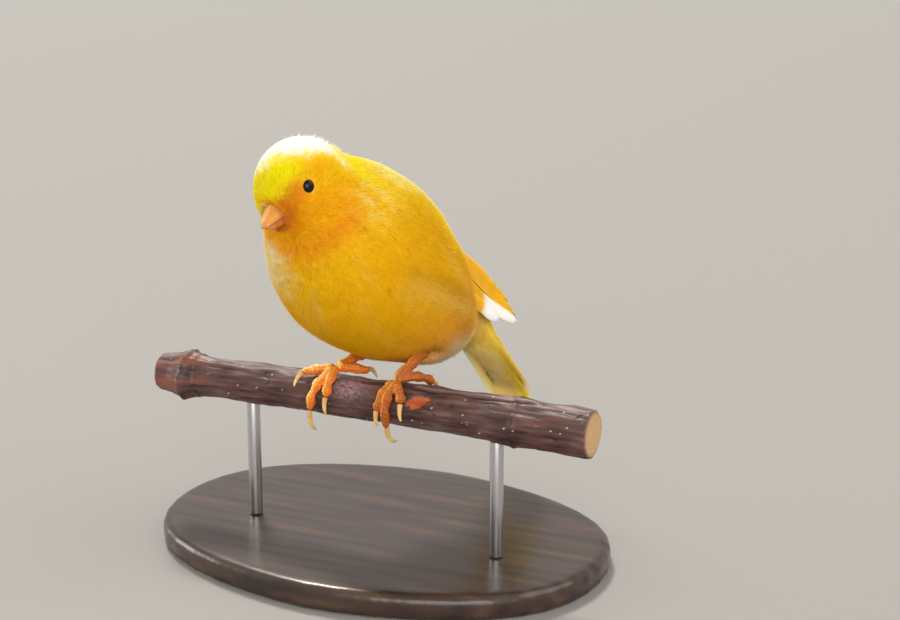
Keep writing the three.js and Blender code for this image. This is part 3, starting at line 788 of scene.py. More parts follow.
# Painted shade within the coat: each strand darker at its root than at its tip, except on the tail, where they stay
# even.
ROOT_LIGHT, MIDDLE_LIGHT, TIP_LIGHT = 0.85, 0.98, 1.04
DARKEST_STRAND, PALEST_STRAND = 0.003, 0.96
station_light = np.array([ROOT_LIGHT] * 3 + [MIDDLE_LIGHT] * 3 + [TIP_LIGHT])[None, :, None]
vertex_tints = strand_tints[:, None, :] * (station_light + (TIP_LIGHT - station_light) * on_tail)
vertex_tints = np.clip(vertex_tints, DARKEST_STRAND, PALEST_STRAND)

# Each tuft's patch on the unwrap of the skin: round the spine across, along the spine upwards
PATCH = 0.003
UNWRAP = (0.003, 0.997)
patch_at = np.stack([np.clip(angle / (2 * math.pi) + 0.5, *UNWRAP), np.clip(share, *UNWRAP)], axis=1)
patch_across = np.array((-0.5, 0.5, 0, -0.5, 0.5, 0, 0)) * 0.3
patch_along = np.array((-0.5, -0.5, -0.5, 0, 0, 0, 0.5))
vertex_uv = patch_at[owner][:, None, :] + PATCH * np.stack([
    0.35 * order[:, None] + patch_across[None, :], np.tile(patch_along, (count, 1)),
], axis=2)


def feather_mesh(name, points, faces, tints, uv=None):
    """A mesh object from bird points, triangles, a tint at each point and a place on the unwrap for each."""
    mesh = bpy.data.meshes.new(name)
    mesh.vertices.add(len(points))
    mesh.loops.add(len(faces) * 3)
    mesh.polygons.add(len(faces))
    mesh.vertices.foreach_set("co", placed(points).ravel())
    mesh.loops.foreach_set("vertex_index", faces.ravel().astype(np.int32))
    mesh.polygons.foreach_set("loop_start", np.arange(0, len(faces) * 3, 3, dtype=np.int32))
    mesh.update(calc_edges=True)
    tinted(mesh, tints)
    if uv is not None:
        layer = mesh.uv_layers.new(name="OFBake")
        layer.data.foreach_set("uv", uv[faces.ravel()].astype(np.float32).ravel())
    return linked(name, mesh)


# Bristles: fine short feathers round the bill's root, orange and brown, painted paler on the far side,
# which the key light falls on, as painted light; they lie forwards over the horn
BRISTLES = 1150
BRISTLE_LENGTH = (0.5, 1.25)
BRISTLE_WIDTH = 0.075
BRISTLE_ROOT = 0.3
ring_turn = draw.uniform(0, 2 * math.pi, BRISTLES)
ring_out = draw.uniform(0.98, 1.34, BRISTLES)
around_bill = np.stack([np.sin(ring_turn), np.cos(ring_turn)], axis=1)
ring_at, ring_face = on_guide(from_head(np.stack([
    np.full(BRISTLES, 9.6), 3.0 * ring_out * around_bill[:, 0], -1.7 + 3.1 * ring_out * around_bill[:, 1],
], axis=1)))
inwards = 0.26 + 0.9 * (ring_out - 1)
ring_way = from_head(np.stack([
    np.ones(BRISTLES), -inwards * around_bill[:, 0] + draw.normal(0, 0.16, BRISTLES),
    -inwards * around_bill[:, 1] + draw.normal(0, 0.16, BRISTLES),
], axis=1)) - HEAD_MIDDLE
ring_way = unit(ring_way)
bristle_length = draw.uniform(*BRISTLE_LENGTH, BRISTLES) * (1.05 - 0.45 * around_bill[:, 1])
dark_bristle = draw.random(BRISTLES) < 0.16 * ((around_bill[:, 1] > -0.3) & (around_bill[:, 0] > -0.3))
bristle_width = BRISTLE_WIDTH * np.where(dark_bristle, 0.6, 1)[:, None]
ring_up = unit(from_head(np.stack([np.full(BRISTLES, 0.35), *around_bill.T], axis=1)) - HEAD_MIDDLE)
side = unit(np.cross(ring_up, ring_way))
bristle_spots = [
    ring_at + ring_way * (bristle_length * run)[:, None] + ring_up * (0.05 + 0.25 * run * (1 - run))
    for run in (0.0, 0.5, 1.0)
]
bristle_spots[0] -= ring_face * BRISTLE_ROOT
bristle_corners = strand_corners(
    bristle_spots, (side, side), (ring_up, ring_up), (bristle_width * 0.5, bristle_width * 0.45), 0.5,
)
bristle_tone = np.where((around_bill[:, 1] > 0.25)[:, None], tone(232, 150, 26), tone(222, 124, 34))
# Painted light: the bristles on the far side of the bill in a pale tone.
bristle_tone = np.where((around_bill[:, 0] < -0.3)[:, None], tone(255, 236, 140), bristle_tone)
bristle_tone = np.where(dark_bristle[:, None], tone(150, 84, 34), bristle_tone)
bristle_out = unit(from_head(np.array((0.9, 0, 0.5))) - HEAD_MIDDLE + 0.55 * ring_up)
bristle_uv = np.stack([0.5 + 0.02 * np.sin(ring_turn), 0.012 + 0.006 * np.cos(ring_turn)], axis=1)

# The coat in pieces, by place on the bird: the first that takes a tuft keeps it
left_side = np.sin(angle) > 0
under = np.cos(angle) < -0.35
PLACES = {
    "coat_face": face_share > 0.5,
    "coat_crown": (head_share > 0.45) & (head_at[:, 2] > 2.5),
    "coat_cheek_left": (head_share > 0.45) & left_side,
    "coat_cheek_right": head_share > 0.45,
    "coat_throat": (share < 0.34) & under,
    "coat_nape": share < 0.34,
    "coat_breast": (share < 0.55) & under,
    "coat_belly": under,
    "coat_side_left": (share < 0.60) & left_side,
    "coat_side_right": share < 0.60,
    "coat_rump": np.abs(angle) < 1.0,
    "coat_flank_left": left_side,
    "coat_flank_right": np.ones(len(roots), bool),
}
strand_sheets = (corners_laid, vertex_tints, vertex_uv, corner_out)
bristle_sheets = [bristle_corners] + [
    np.repeat(values[:, None], 7, axis=1) for values in (bristle_tone, bristle_uv, bristle_out)
]
taken = np.zeros(len(roots), bool)
for name, here in PLACES.items():
    mine = (here & ~taken)[owner]
    taken |= here
    sheets = [values[mine] for values in strand_sheets]
    if name == "coat_face":
        sheets = [np.concatenate(pair) for pair in zip(sheets, bristle_sheets)]
    faces = (STRAND_FACES[None] + 7 * np.arange(len(sheets[0]))[:, None, None]).reshape(-1, 3)
    laid_points, laid_tints, laid_uv, laid_out = (values.reshape(-1, values.shape[2]) for values in sheets)
    piece = feather_mesh(name, laid_points, faces, laid_tints, laid_uv)
    piece.data.materials.append(plumage_finish)
    smooth_shaded(piece)
    piece.data.normals_split_custom_set_from_vertices((laid_out @ BIRD_TURN.T).tolist())
    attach(piece, "root")


# Wings: folded, each a stack of long stiff flight feathers, from the lowest primary up to the short
# broad tertials, whose roots the coat covers. Yellow, with the two lowest primaries white at their tips.
WING_UPPER = [(12, -12, 41), (8.5, -1.5, 47.5), (5.5, 11.5, 42), (4, 24.5, 31.5), (3.2, 38.5, 19), (3.2, 52, 6)]
WING_LOWER = [(16, -11, 34), (17.5, -3, 26.5), (16.5, 9, 21), (12.5, 21, 16), (8.8, 32.5, 10), (5.2, 48.5, 2)]
UNDERWING_SINK = 0.34
UNDERWING_SHADE = 0.8
VANE_THICKNESS = 0.09
VANE_ROWS = 22
VANE_COLUMNS = 9
VANE_DROOP = 0.10
SHAFT_HEIGHT = 0.07
SHAFT_WIDTH = 0.2
PRIMARY_TIPS = [
    (0.868, 1.14), (0.968, 0.80), (0.945, 0.32), (0.925, 0.24), (0.90, 0.12), (0.87, 0.09), (0.84, 0.07),
    (0.805, 0.06),
]
VANES_BEGIN = 0.40
ROOT_DIP = 1.7
VANE_KINDS = {
    "primary": {"grown": 0.10, "narrows": 0.74, "shaft": 0.22, "slope": 0.06, "tip_dip": 0.0},
    "secondary": {"grown": 0.12, "narrows": 0.82, "shaft": 0.22, "slope": 0.06, "tip_dip": 0.75},
    "tertial": {"grown": 0.2, "narrows": 0.72, "shaft": 0.0, "slope": 0.15, "tip_dip": 0.3},
    "tail": {"grown": 0.10, "narrows": 0.86},
}
BLADE_ENDS = 0.88
WING_SHOWS = {
    "from": ((0.0, 0.5, 0.6, 0.7, 0.8, 0.9, 0.97, 1.0), (0.04, 0.04, 0.04, 0.05, 0.08, 0.20, 0.50, 0.6)),
    "to": ((0.0, 0.3, 0.6, 0.7, 0.77, 0.83, 1.0), (0.93, 0.92, 0.92, 0.91, 0.90, 0.99, 0.99)),
}


def curve_at(points, shares):
    """Points at those shares (0 to 1) of a smooth curve through the given points."""
    points = np.asarray(points, float)
    padded = np.vstack([2 * points[0] - points[1], points, 2 * points[-1] - points[-2]])
    at = np.clip(np.asarray(shares, float), 0, 1) * (len(points) - 1)
    step = np.minimum(at.astype(int), len(points) - 2)
    u = (at - step)[..., None]
    a, b, c, d = (padded[step + k] for k in range(4))
    return 0.5 * (2 * b + (c - a) * u + (2 * a - 5 * b + 4 * c - d) * u ** 2 + (3 * b - a - 3 * c + d) * u ** 3)


def shown_down(along, down):
    """The share down the whole wing for a share down the part of it that shows, at shares along it."""
    first, last = (np.interp(along, *WING_SHOWS[end]) for end in ("from", "to"))
    return first + (last - first) * down


def wing_feathers():
    """Every feather of one wing, lowest first: its root and tip as (along, down) shares of the wing, its width and
    height over the wing's face in millimetres, and its kind."""
    rows = []
    for k, tip in enumerate(PRIMARY_TIPS):
        wide = 3.4 if k < 4 else 2.8
        rows.append(((0.36, 0.90 - 0.06 * k), tip, wide, -0.15 + 0.035 * k, "primary"))
    for k in range(6):
        tip = (0.76 - 0.022 * k, 0.80 - 0.11 * k)
        rows.append(((0.27, 0.84 - 0.09 * k), tip, 4.2, 0.04 + 0.03 * k, "secondary"))
    for k in range(3):
        tip = (0.66 - 0.06 * k, 0.30 - 0.07 * k)
        rows.append(((0.20, 0.36 - 0.06 * k), tip, 5.0, 0.22 + 0.04 * k, "tertial"))
    return rows


def vane(middle, out, width, shift=0.0, droop=VANE_DROOP):
    """The closed thin blade of one feather along a line of points: corners, triangles, shares along and across."""
    rows, n = len(middle), VANE_COLUMNS
    side = unit(np.cross(out, np.gradient(middle, axis=0)))
    across = np.linspace(-1, 1, n)
    half = width[:, None, None] / 2
    top = middle[:, None] + side[:, None] * (across[None, :, None] + shift) * half
    top = top - out[:, None] * (droop * across[None, :, None] ** 2 * half * 2)
    bottom = top - out[:, None] * VANE_THICKNESS
    shaft = np.maximum(0, 1 - np.abs(across + shift) / SHAFT_WIDTH)
    top = top + out[:, None] * (SHAFT_HEIGHT * shaft)[None, :, None]
    under_at = rows * n
    faces = []
    for i in range(rows - 1):
        for j in range(n - 1):
            a, b, c, d = i * n + j, i * n + j + 1, (i + 1) * n + j + 1, (i + 1) * n + j
            faces += [(a, d, c), (a, c, b)]
            a, b, c, d = (k + under_at for k in (a, b, c, d))
            faces += [(a, c, d), (a, b, c)]
    rim = [(i * n + j, i * n + j + n, turned) for i in range(rows - 1) for j, turned in ((0, 1), (n - 1, -1))]
    rim += [(i * n + j, i * n + j + 1, turned) for j in range(n - 1) for i, turned in ((0, -1), (rows - 1, 1))]
    for a, b, turned in rim:
        faces += [f[::turned] for f in ((a, a + under_at, b + under_at), (a, b + under_at, b))]
    points = np.concatenate([top.reshape(-1, 3), bottom.reshape(-1, 3)])
    along = np.repeat(np.linspace(0, 1, rows), n)
    return points, np.array(faces), np.tile(along, 2), np.tile(across, 2 * rows)


def vane_width(kind):
    """The width of a feather from root to tip, as shares of its greatest."""
    t = np.linspace(0, 1, VANE_ROWS)
    narrows = VANE_KINDS[kind]["narrows"]
    grown = 0.45 + 0.55 * soft(t, 0, VANE_KINDS[kind]["grown"])
    tip = np.clip((t - narrows) / (1 - narrows), 0, 1)
    return grown * np.sqrt(np.clip(1 - tip ** 2.2, 0.0025, 1))


flight_finish, shader, tint, nodes, links = material("flight_feathers", 0.6, Specular_IOR_Level=0.15)
vane_map = added(nodes, "UVMap", uv_map="barbs")
barbs = added(nodes, "TexWave", {"Scale": 1.0, "Distortion": 1.2, "Detail": 2}, bands_direction="X")
barb_tone = added(nodes, "MapRange", {"To Min": 0.92, "To Max": 1.06})
shaded = added(nodes, "VectorMath", operation="SCALE")
barb_bump = added(nodes, "Bump", {"Strength": 0.25, "Distance": 0.00006})
for output, socket in (
    (vane_map.outputs["UV"], barbs.inputs["Vector"]),
    (barbs.outputs["Fac"], barb_tone.inputs["Value"]),
    (tint.outputs["Color"], shaded.inputs[0]),
    (barb_tone.outputs["Result"], shaded.inputs["Scale"]),
    (shaded.outputs["Vector"], shader.inputs["Base Color"]),
    (barbs.outputs["Fac"], barb_bump.inputs["Height"]),
    (barb_bump.outputs["Normal"], shader.inputs["Normal"]),
):
    links.new(output, socket)

FLIGHT_TINTS = tones(
    web=(242, 180, 12), edge=(250, 202, 30), shade=(228, 158, 12), shaft=(234, 172, 24),
    white=(255, 253, 246), inner=(255, 220, 128), grey=(252, 208, 118), cream=(255, 242, 184),
    bright=(255, 226, 24),
)
FLIGHT_DARKEST = 0.004
FLIGHT_PALEST = 0.96
RUN_OF_BARBS = 1.6


def flight_tints(first, **masks):
    """One flight tint after another laid over the first through its mask."""
    return laid_over(FLIGHT_TINTS[first], *((FLIGHT_TINTS[name], mask) for name, mask in masks.items()))


def fan_mesh(name, vanes, extra=None):
    """One piece from many blades, each (points, faces, tints, along, sideways, run) and unwrapped to its own cell."""
    points, faces, tints, baked, barb = [], [], [], [], []
    cells = math.ceil(math.sqrt(len(vanes) + 1))
    first = 0
    for k, (p, f, c, along, sideways, run) in enumerate(vanes):
        points.append(p)
        faces.append(f + first)
        tints.append(c)
        row, column = divmod(k, cells)
        lower = np.arange(len(p)) >= len(p) // 2
        baked.append(np.stack([
            (column + 0.06 + 0.4 * (sideways * 0.5 + 0.5) + 0.46 * lower) / cells,
            (row + 0.06 + 0.88 * along) / cells,
        ], axis=1))
        barb.append(np.stack([along * run + np.abs(sideways) * 0.9, sideways], axis=1))
        first += len(p)
    if extra is not None:
        p, f, c = extra
        points.append(p)
        faces.append(f + first)
        tints.append(c)
        flat = (p - p.min(0)) / (p.max(0) - p.min(0))
        baked.append((flat[:, 1:] * 0.9 + 0.05 + (cells - 1)) / cells)
        barb.append(p[:, 1::-1])
    faces = np.concatenate(faces)
    piece = feather_mesh(name, np.concatenate(points), faces, np.concatenate(tints), np.concatenate(baked))
    layer = piece.data.uv_layers.new(name="barbs")
    layer.data.foreach_set("uv", np.concatenate(barb)[faces.ravel()].astype(np.float32).ravel())
    piece.data.materials.append(flight_finish)
    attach(piece, "root")
    return piece


def triangles_of(mesh):
    mesh.calc_loop_triangles()
    flat = np.empty(len(mesh.loop_triangles) * 3, np.int32)
    mesh.loop_triangles.foreach_get("vertices", flat)
    return flat.reshape(-1, 3)


BLADE_VOXEL = 0.5
wing_blade = solid_copy("wing_blade", ["wing_left"])
remeshed(wing_blade, BLADE_VOXEL, 16)
blade_points, blade_out = bird_shape(wing_blade)
blade_faces = triangles_of(wing_blade.data)
blade_tree = tree_of(blade_points, blade_faces)
bpy.data.objects.remove(wing_blade)


def tip_reach(along):
    """How far the wing's rear is drawn out, which the smoothing of its blade took off."""
    return np.outer(soft(along, 0.6, 1.0), (0, 3.0, -1.1))


def on_wing_face(along, down):
    """The outer face of the folded left wing at shares along it and down it, with the way out of it."""
    upper, lower = curve_at(WING_UPPER, along), curve_at(WING_LOWER, along)
    within = np.clip(down, 0.01, 0.99)[:, None]
    flat = upper * (1 - within) + lower * within
    places, ways = [], []
    for point in flat:
        place, normal, face, _ = blade_tree.find_nearest(tuple(point + np.array((2.6, 0.2, 1.4))))
        places.append(place)
        ways.append(np.mean(blade_out[blade_faces[face]], axis=0))
    places, ways = np.array(places), np.array(ways)
    for _ in range(14):
        places[1:-1] = (places[:-2] + 2 * places[1:-1] + places[2:]) / 4
        ways[1:-1] = (ways[:-2] + 2 * ways[1:-1] + ways[2:]) / 4
    places += (lower - upper) * np.maximum(0, down - 0.99)[:, None] + tip_reach(along)
    return places, unit(ways)


def drawn_in(points):
    """The blade's points with both edges drawn in to the part of the wing that shows, and their shares along it."""
    grid = np.meshgrid(np.linspace(0, 1, 70), np.linspace(0, 1, 24), indexing="ij")
    along, down = (shares.ravel() for shares in grid)
    upper, lower = curve_at(WING_UPPER, along), curve_at(WING_LOWER, along)
    flat = upper * (1 - down[:, None]) + lower * down[:, None]
    nearest = np.array([((flat - p) ** 2).sum(axis=1).argmin() for p in points])
    here, along = down[nearest], along[nearest]
    wanted = np.clip(here, shown_down(along, 0.10), shown_down(along, 0.94))
    drawn = points + (lower - upper)[nearest] * ((wanted - here) * soft(along, 0.2, 0.36))[:, None]
    drawn = drawn + curve_at(WING_UPPER, np.minimum(along, BLADE_ENDS)) - curve_at(WING_UPPER, along)
    return drawn + tip_reach(np.minimum(along, BLADE_ENDS)), along


for side_name, sign, seed in (("left", 1, 11), ("right", -1, 12)):
    draw = np.random.default_rng(seed)
    mirror = np.array((sign, 1, 1))
    vanes = []
    for (root_along, root_down), (tip_along, tip_down), wide, height, kind in wing_feathers():
        shift, slope, tip_dip = (VANE_KINDS[kind][key] for key in ("shaft", "slope", "tip_dip"))
        begins = (VANES_BEGIN - root_along) / (tip_along - root_along)
        t = np.linspace(begins, 1, VANE_ROWS)
        along = root_along + (tip_along - root_along) * t
        down = root_down + (tip_down - root_down) * soft(t, -0.35, 1.2) + draw.normal(0, 0.006)
        middle, out = on_wing_face(along, shown_down(along, down))
        sink = ROOT_DIP * (1 - soft(t, begins, begins + 0.35)) + tip_dip * soft(t, 0.7, 1.0)
        middle = middle + out * (height - slope + 2 * slope * t - sink)[:, None]
        points, faces, share_along, sideways = vane(middle, out, vane_width(kind) * wide, shift)
        share_along = begins + (1 - begins) * share_along
        wing_along = root_along + (tip_along - root_along) * share_along
        wing_down = root_down + (tip_down - root_down) * soft(share_along, -0.35, 1.2)
        tints = flight_tints(
            "web",
            shade=0.55 * (1 - soft(np.abs(sideways), 0.0, 0.9)) * (1 - soft(share_along, 0.7, 1.0)),
            edge=0.75 * soft(np.abs(sideways), 0.72, 1.0) + 0.4 * soft(share_along, 0.9, 1.0),
            shaft=0.6 * (np.abs(sideways + shift) < 0.09),
            white=soft(wing_along, 0.765, 0.785) * soft(wing_down, 0.60, 0.68),
        )
        tints = tints * (1 + draw.normal(0, 0.035)) * (1 + 0.05 * ripple(points, 5, 8))[:, None]
        run = np.linalg.norm(np.diff(middle, axis=0), axis=1).sum() * RUN_OF_BARBS
        tints = np.clip(tints, FLIGHT_DARKEST, FLIGHT_PALEST)
        vanes.append((points * mirror, faces[:, ::sign], tints, share_along, sideways, run))
    under, under_along = drawn_in(blade_points - blade_out * UNDERWING_SINK)
    # Painted shade: the blade under the vanes takes the web's tint darkened, and white towards the tip.
    under_tints = laid_over(
        FLIGHT_TINTS["web"] * UNDERWING_SHADE, (FLIGHT_TINTS["white"], soft(under_along, 0.77, 0.80)),
    )
    wing = fan_mesh(f"wing_feathers_{side_name}", vanes, (under * mirror, blade_faces[:, ::sign], under_tints))
    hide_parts(f"wing_{side_name}")


# Tail: twelve long feathers in a closed fan, the middle pair on top and the outermost below, with a
# shallow fork. Pale tan inside, bright yellow along its left side and cream along its right edge.
TAIL_LENGTH = 55.0
TAIL_FORK = 4.5
TAIL_HALF_WIDTHS = (6.4, 8.3)
TAIL_ARCH = 0.8
TAIL_SHIFT = -2.7
TAIL_LOWER = 0.4
FEATHER_WIDTH = 4.9
FEATHER_DROOP = 0.03
BRIGHT_PAIRS = {5: 1.0, 4: 0.55, 3: 0.15}
draw = np.random.default_rng(17)
t = np.linspace(0, 1, VANE_ROWS)
half = TAIL_HALF_WIDTHS[0] + (TAIL_HALF_WIDTHS[1] - TAIL_HALF_WIDTHS[0]) * t ** 1.3
room = half - FEATHER_WIDTH / 2 - 0.1
tail_vanes = []
for pair in range(5, -1, -1):
    for hand in (-1, 1):
        reach = (TAIL_LENGTH - TAIL_FORK + TAIL_FORK * (pair / 5) ** 1.2 - 0.6) * t
        off = hand * room * (pair + 0.35) / 5.35
        drop = -TAIL_ARCH * (off / half) ** 2 * (1 - 0.5 * t)
        height = 0.45 - 0.13 * pair + (0.02 if hand > 0 else 0) - 0.03 * pair * (t - 0.5)
        middle = (TAIL_ROOT + TAIL_ALONG * reach[:, None]
                  + np.array((1.0, 0, 0)) * (off + TAIL_SHIFT * soft(t, -0.1, 0.5))[:, None]
                  + TAIL_ABOVE * (drop + height - TAIL_LOWER)[:, None])
        lean = -2 * TAIL_ARCH * off / half ** 2 * (1 - 0.5 * t)
        out = unit(TAIL_ABOVE - np.array((1.0, 0, 0)) * lean[:, None])
        width = vane_width("tail") * FEATHER_WIDTH
        points, faces, share_along, sideways = vane(middle, out, width, droop=FEATHER_DROOP)
        to_left = np.cross(TAIL_ABOVE, TAIL_ALONG)[0] * hand * sideways > 0
        outer = np.where(to_left, np.abs(sideways), -np.abs(sideways))
        bright = BRIGHT_PAIRS.get(pair, 0.0) if hand > 0 else 0.0
        tints = flight_tints(
            "inner",
            grey=0.6 * soft(-outer, -0.2, 0.8),
            cream=(0.9 if hand < 0 else 0.3) * soft(outer, 0.3, 0.75),
            bright=bright * soft(outer, -1.3, -0.2),
            edge=0.8 * bright * np.exp(-((outer - 0.1) / 0.35) ** 2),
            shaft=0.4 * (np.abs(sideways) < 0.1),
        )
        tints = np.clip(tints * (1 + draw.normal(0, 0.03)), FLIGHT_DARKEST, FLIGHT_PALEST)
        tail_vanes.append((points, faces, tints, share_along, sideways, TAIL_LENGTH * RUN_OF_BARBS))

tail = fan_mesh("tail_feathers", tail_vanes)
smooth_shaded(tail)
tail_out = outwards(tail.data) @ BIRD_TURN
lower_face = LOWER_BARBS * soft(-(tail_out @ TAIL_ABOVE), 0.0, 0.6)[:, None]
tail_out = tail_out * (1 - lower_face) + np.array(LOWER_BARBS_FACE) * lower_face
tail.data.normals_split_custom_set_from_vertices((tail_out @ BIRD_TURN.T).tolist())
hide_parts("tail")


# Bill: a short stout cone in two halves of horn, pinkish orange, with a paler ridge along its top and a
# shallow groove where the halves meet. Feathers cover its root and nostrils.
def mottle_group():
    """A node group that varies a tint over the surface in grains of a given size and gives their height."""
    group = bpy.data.node_groups.new("mottle", "ShaderNodeTree")
    for name, way, kind in (
        ("Tint", "INPUT", "Color"), ("Grains per metre", "INPUT", "Vector"), ("Amount", "INPUT", "Float"),
        ("Color", "OUTPUT", "Color"), ("Height", "OUTPUT", "Float"),
    ):
        group.interface.new_socket(name, in_out=way, socket_type=f"NodeSocket{kind}")
    given, made = group.nodes.new("NodeGroupInput"), group.nodes.new("NodeGroupOutput")
    place = added(group.nodes, "TexCoord")
    scaled = added(group.nodes, "VectorMath", operation="MULTIPLY")
    grains = added(group.nodes, "TexNoise", {"Scale": 1.0, "Detail": 5, "Roughness": 0.6})
    centred = added(group.nodes, "Math", {1: 0.5}, operation="SUBTRACT")
    weighed = added(group.nodes, "Math", {2: 1.0}, operation="MULTIPLY_ADD")
    shaded = added(group.nodes, "VectorMath", operation="SCALE")
    for output, socket in (
        (place.outputs["Object"], scaled.inputs[0]),
        (given.outputs["Grains per metre"], scaled.inputs[1]),
        (scaled.outputs["Vector"], grains.inputs["Vector"]),
        (grains.outputs["Fac"], centred.inputs[0]),
        (centred.outputs["Value"], weighed.inputs[0]),
        (given.outputs["Amount"], weighed.inputs[1]),
        (given.outputs["Tint"], shaded.inputs[0]),
        (weighed.outputs["Value"], shaded.inputs["Scale"]),
        (shaded.outputs["Vector"], made.inputs["Color"]),
        (grains.outputs["Fac"], made.inputs["Height"]),
    ):
        group.links.new(output, socket)
    return group


mottle = mottle_group()


def mottled(name, roughness, grains, amount, relief, **sockets):
    """A material that varies its mesh's tint by fine grains, which also stand out by the relief in metres."""
    made, shader, tint, nodes, links = material(name, roughness, **sockets)
    varied = nodes.new("ShaderNodeGroup")
    varied.node_tree = mottle
    varied.inputs["Grains per metre"].default_value = grains
    varied.inputs["Amount"].default_value = amount
    bump = added(nodes, "Bump", {"Strength": 0.6, "Distance": relief})
    links.new(tint.outputs["Color"], varied.inputs["Tint"])
    links.new(varied.outputs["Color"], shader.inputs["Base Color"])
    links.new(varied.outputs["Height"], bump.inputs["Height"])
    links.new(bump.outputs["Normal"], shader.inputs["Normal"])
    return made


DARKEST = 0.002
PALEST = 0.96


def painted(piece, first, *layers):
    """The piece tinted with the first colour and the layers over it: each is (colour, mask at every point)."""
    tinted(piece.data, np.clip(laid_over(first, *layers), DARKEST, PALEST))


def dressed(piece, finish, slot_name, *nodes_replaced):
    """The piece with its material, riding on the one body and in place of its solids; its slot name is not used."""
    piece.data.materials.append(finish)
    smooth_shaded(piece)
    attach(piece, "root")
    if nodes_replaced:
        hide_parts(*nodes_replaced)


BILL_VOXEL = 0.13
BILL_STARTS = 7
BILL_ENDS = 15.2
bill_finish = mottled("bill_horn", 0.42, (900, 900, 900), 0.22, 0.00004, Specular_IOR_Level=0.45)
for half, ridge_side, warm in (
    ("bill_upper", 1, tone(214, 142, 60)), ("bill_lower", -1, tone(204, 116, 38)),
):
    horn = solid_copy(f"{half}_horn", [half])
    remeshed(horn, BILL_VOXEL, 10)
    points, out = bird_shape(horn)
    forward, left, up = on_head(points).T
    upward = (out @ HEAD_TURNED)[:, 2]
    ridge = np.exp(-(left / 0.55) ** 2) * soft(ridge_side * upward, 0.3, 0.9)
    edge = 1 - soft(np.abs(up + 1.8 + 0.5 * ((forward - BILL_STARTS) / 8) ** 2), 0.1, 0.9)
    swell = 0.14 * ridge * (1 - soft(forward, BILL_STARTS, BILL_ENDS)) + 0.05 * edge + 0.10
    moved_to(horn.data, placed(points + out * swell[:, None]))
    painted(
        horn, warm,
        (tone(234, 178, 98), ridge * 0.8),
        (tone(204, 104, 30), 0.7 * (1 - soft(forward, 8.5, 12.0)) * soft(np.abs(left), 0.3, 1.8)),
        (tone(168, 84, 48), 0.55 * edge * (1 - soft(forward, 12, 15))),
        (tone(236, 176, 104), 0.4 * soft(ripple(points, 2.2, 31), 0.3, 1.0)),
        (tone(150, 84, 56), 0.35 * soft(forward, 13.4, BILL_ENDS)),
    )
    dressed(horn, bill_finish, "bill", half)


# Eyes: small dark glossy balls, each set into its socket and held by an oval rim of bare pale lid, whose
# skin is beaded.
EYE_RADIUS = 1.90
EYE_OVAL = (0.92, 1.05, 1.0)
LID_RADIUS = 1.44
LID_OUT = 1.34
LID_WIDTH = 0.28
LID_BEADS = 40
BEAD_RISE = 0.02
eye_finish, *_ = material("eye_dark", 0.12, Specular_IOR_Level=0.22, Coat_Weight=0.05, Coat_Roughness=0.05)
lid_finish = mottled("eyelid", 0.55, (2500, 2500, 2500), 0.3, 0.00003, Specular_IOR_Level=0.35)


def turned_out(add, name, scale=(1, 1, 1), **sizes):
    """A primitive with its place, turn and scale laid into its mesh."""
    bpy.ops.object.select_all(action="DESELECT")
    add(**sizes)
    piece = bpy.context.object
    piece.name = name
    piece.scale = scale
    bpy.ops.object.transform_apply(location=True, rotation=True, scale=True)
    return piece


for side_name, place in EYE_PLACES.items():
    axis = np.array(Vector(EYE_AXIS[side_name]).normalized())
    looks = Vector(BIRD_TURN @ (from_head(axis) - from_head(np.zeros(3)))).normalized()
    centre = Vector(placed(from_head(np.array(place))))
    turn = looks.to_track_quat("Z", "Y").to_euler()
    ball = turned_out(
        bpy.ops.mesh.primitive_uv_sphere_add, f"eyeball_{side_name}", EYE_OVAL,
        segments=48, ring_count=24, radius=EYE_RADIUS * MM, location=centre, rotation=turn,
    )
    facing = (corners(ball.data) - np.array(centre)) @ np.array(looks) / (EYE_RADIUS * MM)
    painted(
        ball, tone(20, 15, 20),
        (tone(10, 8, 12), soft(facing, 0.90, 0.95)),
        (tone(14, 10, 12), 1 - soft(facing, 0.6, 0.75)),
    )
    dressed(ball, eye_finish, "eye", f"eye_{side_name}")
    lid = turned_out(
        bpy.ops.mesh.primitive_torus_add, f"eyelid_{side_name}", EYE_OVAL,
        major_segments=72, minor_segments=14, major_radius=LID_RADIUS * MM, minor_radius=LID_WIDTH / 2 * MM,
        location=centre + looks * LID_OUT * MM, rotation=turn,
    )
    rim = corners(lid.data)
    low = on_head(unplaced(rim))[:, 2] - place[2]
    beads = np.sin(np.linspace(0, 2 * math.pi * LID_BEADS, len(rim)))
    moved_to(lid.data, rim + outwards(lid.data) * (BEAD_RISE * beads * MM)[:, None])
    painted(
        lid, tone(232, 152, 34),
        (tone(244, 222, 160), (1 - soft(low, -1.4, -0.2)) * 0.85),
        (tone(196, 116, 24), soft(low, 0.2, 1.4) * 0.8),
    )
    dressed(lid, lid_finish, "plumage")


# Feet: bare scaly legs and toes in warm orange, each foot one skin over shank and four toes, with
# plates across the upper side of every toe and down the shank. Horn claws curve round the branch.
FOOT_VOXEL = 0.155
FOOT_SWELL = 0.2
PLATE_PITCH = 0.82
PLATE_RISE = 0.10
CLAW_VOXEL = 0.09
CLAW_GROWN = 1.18
KNUCKLE_PITCH = 3.4
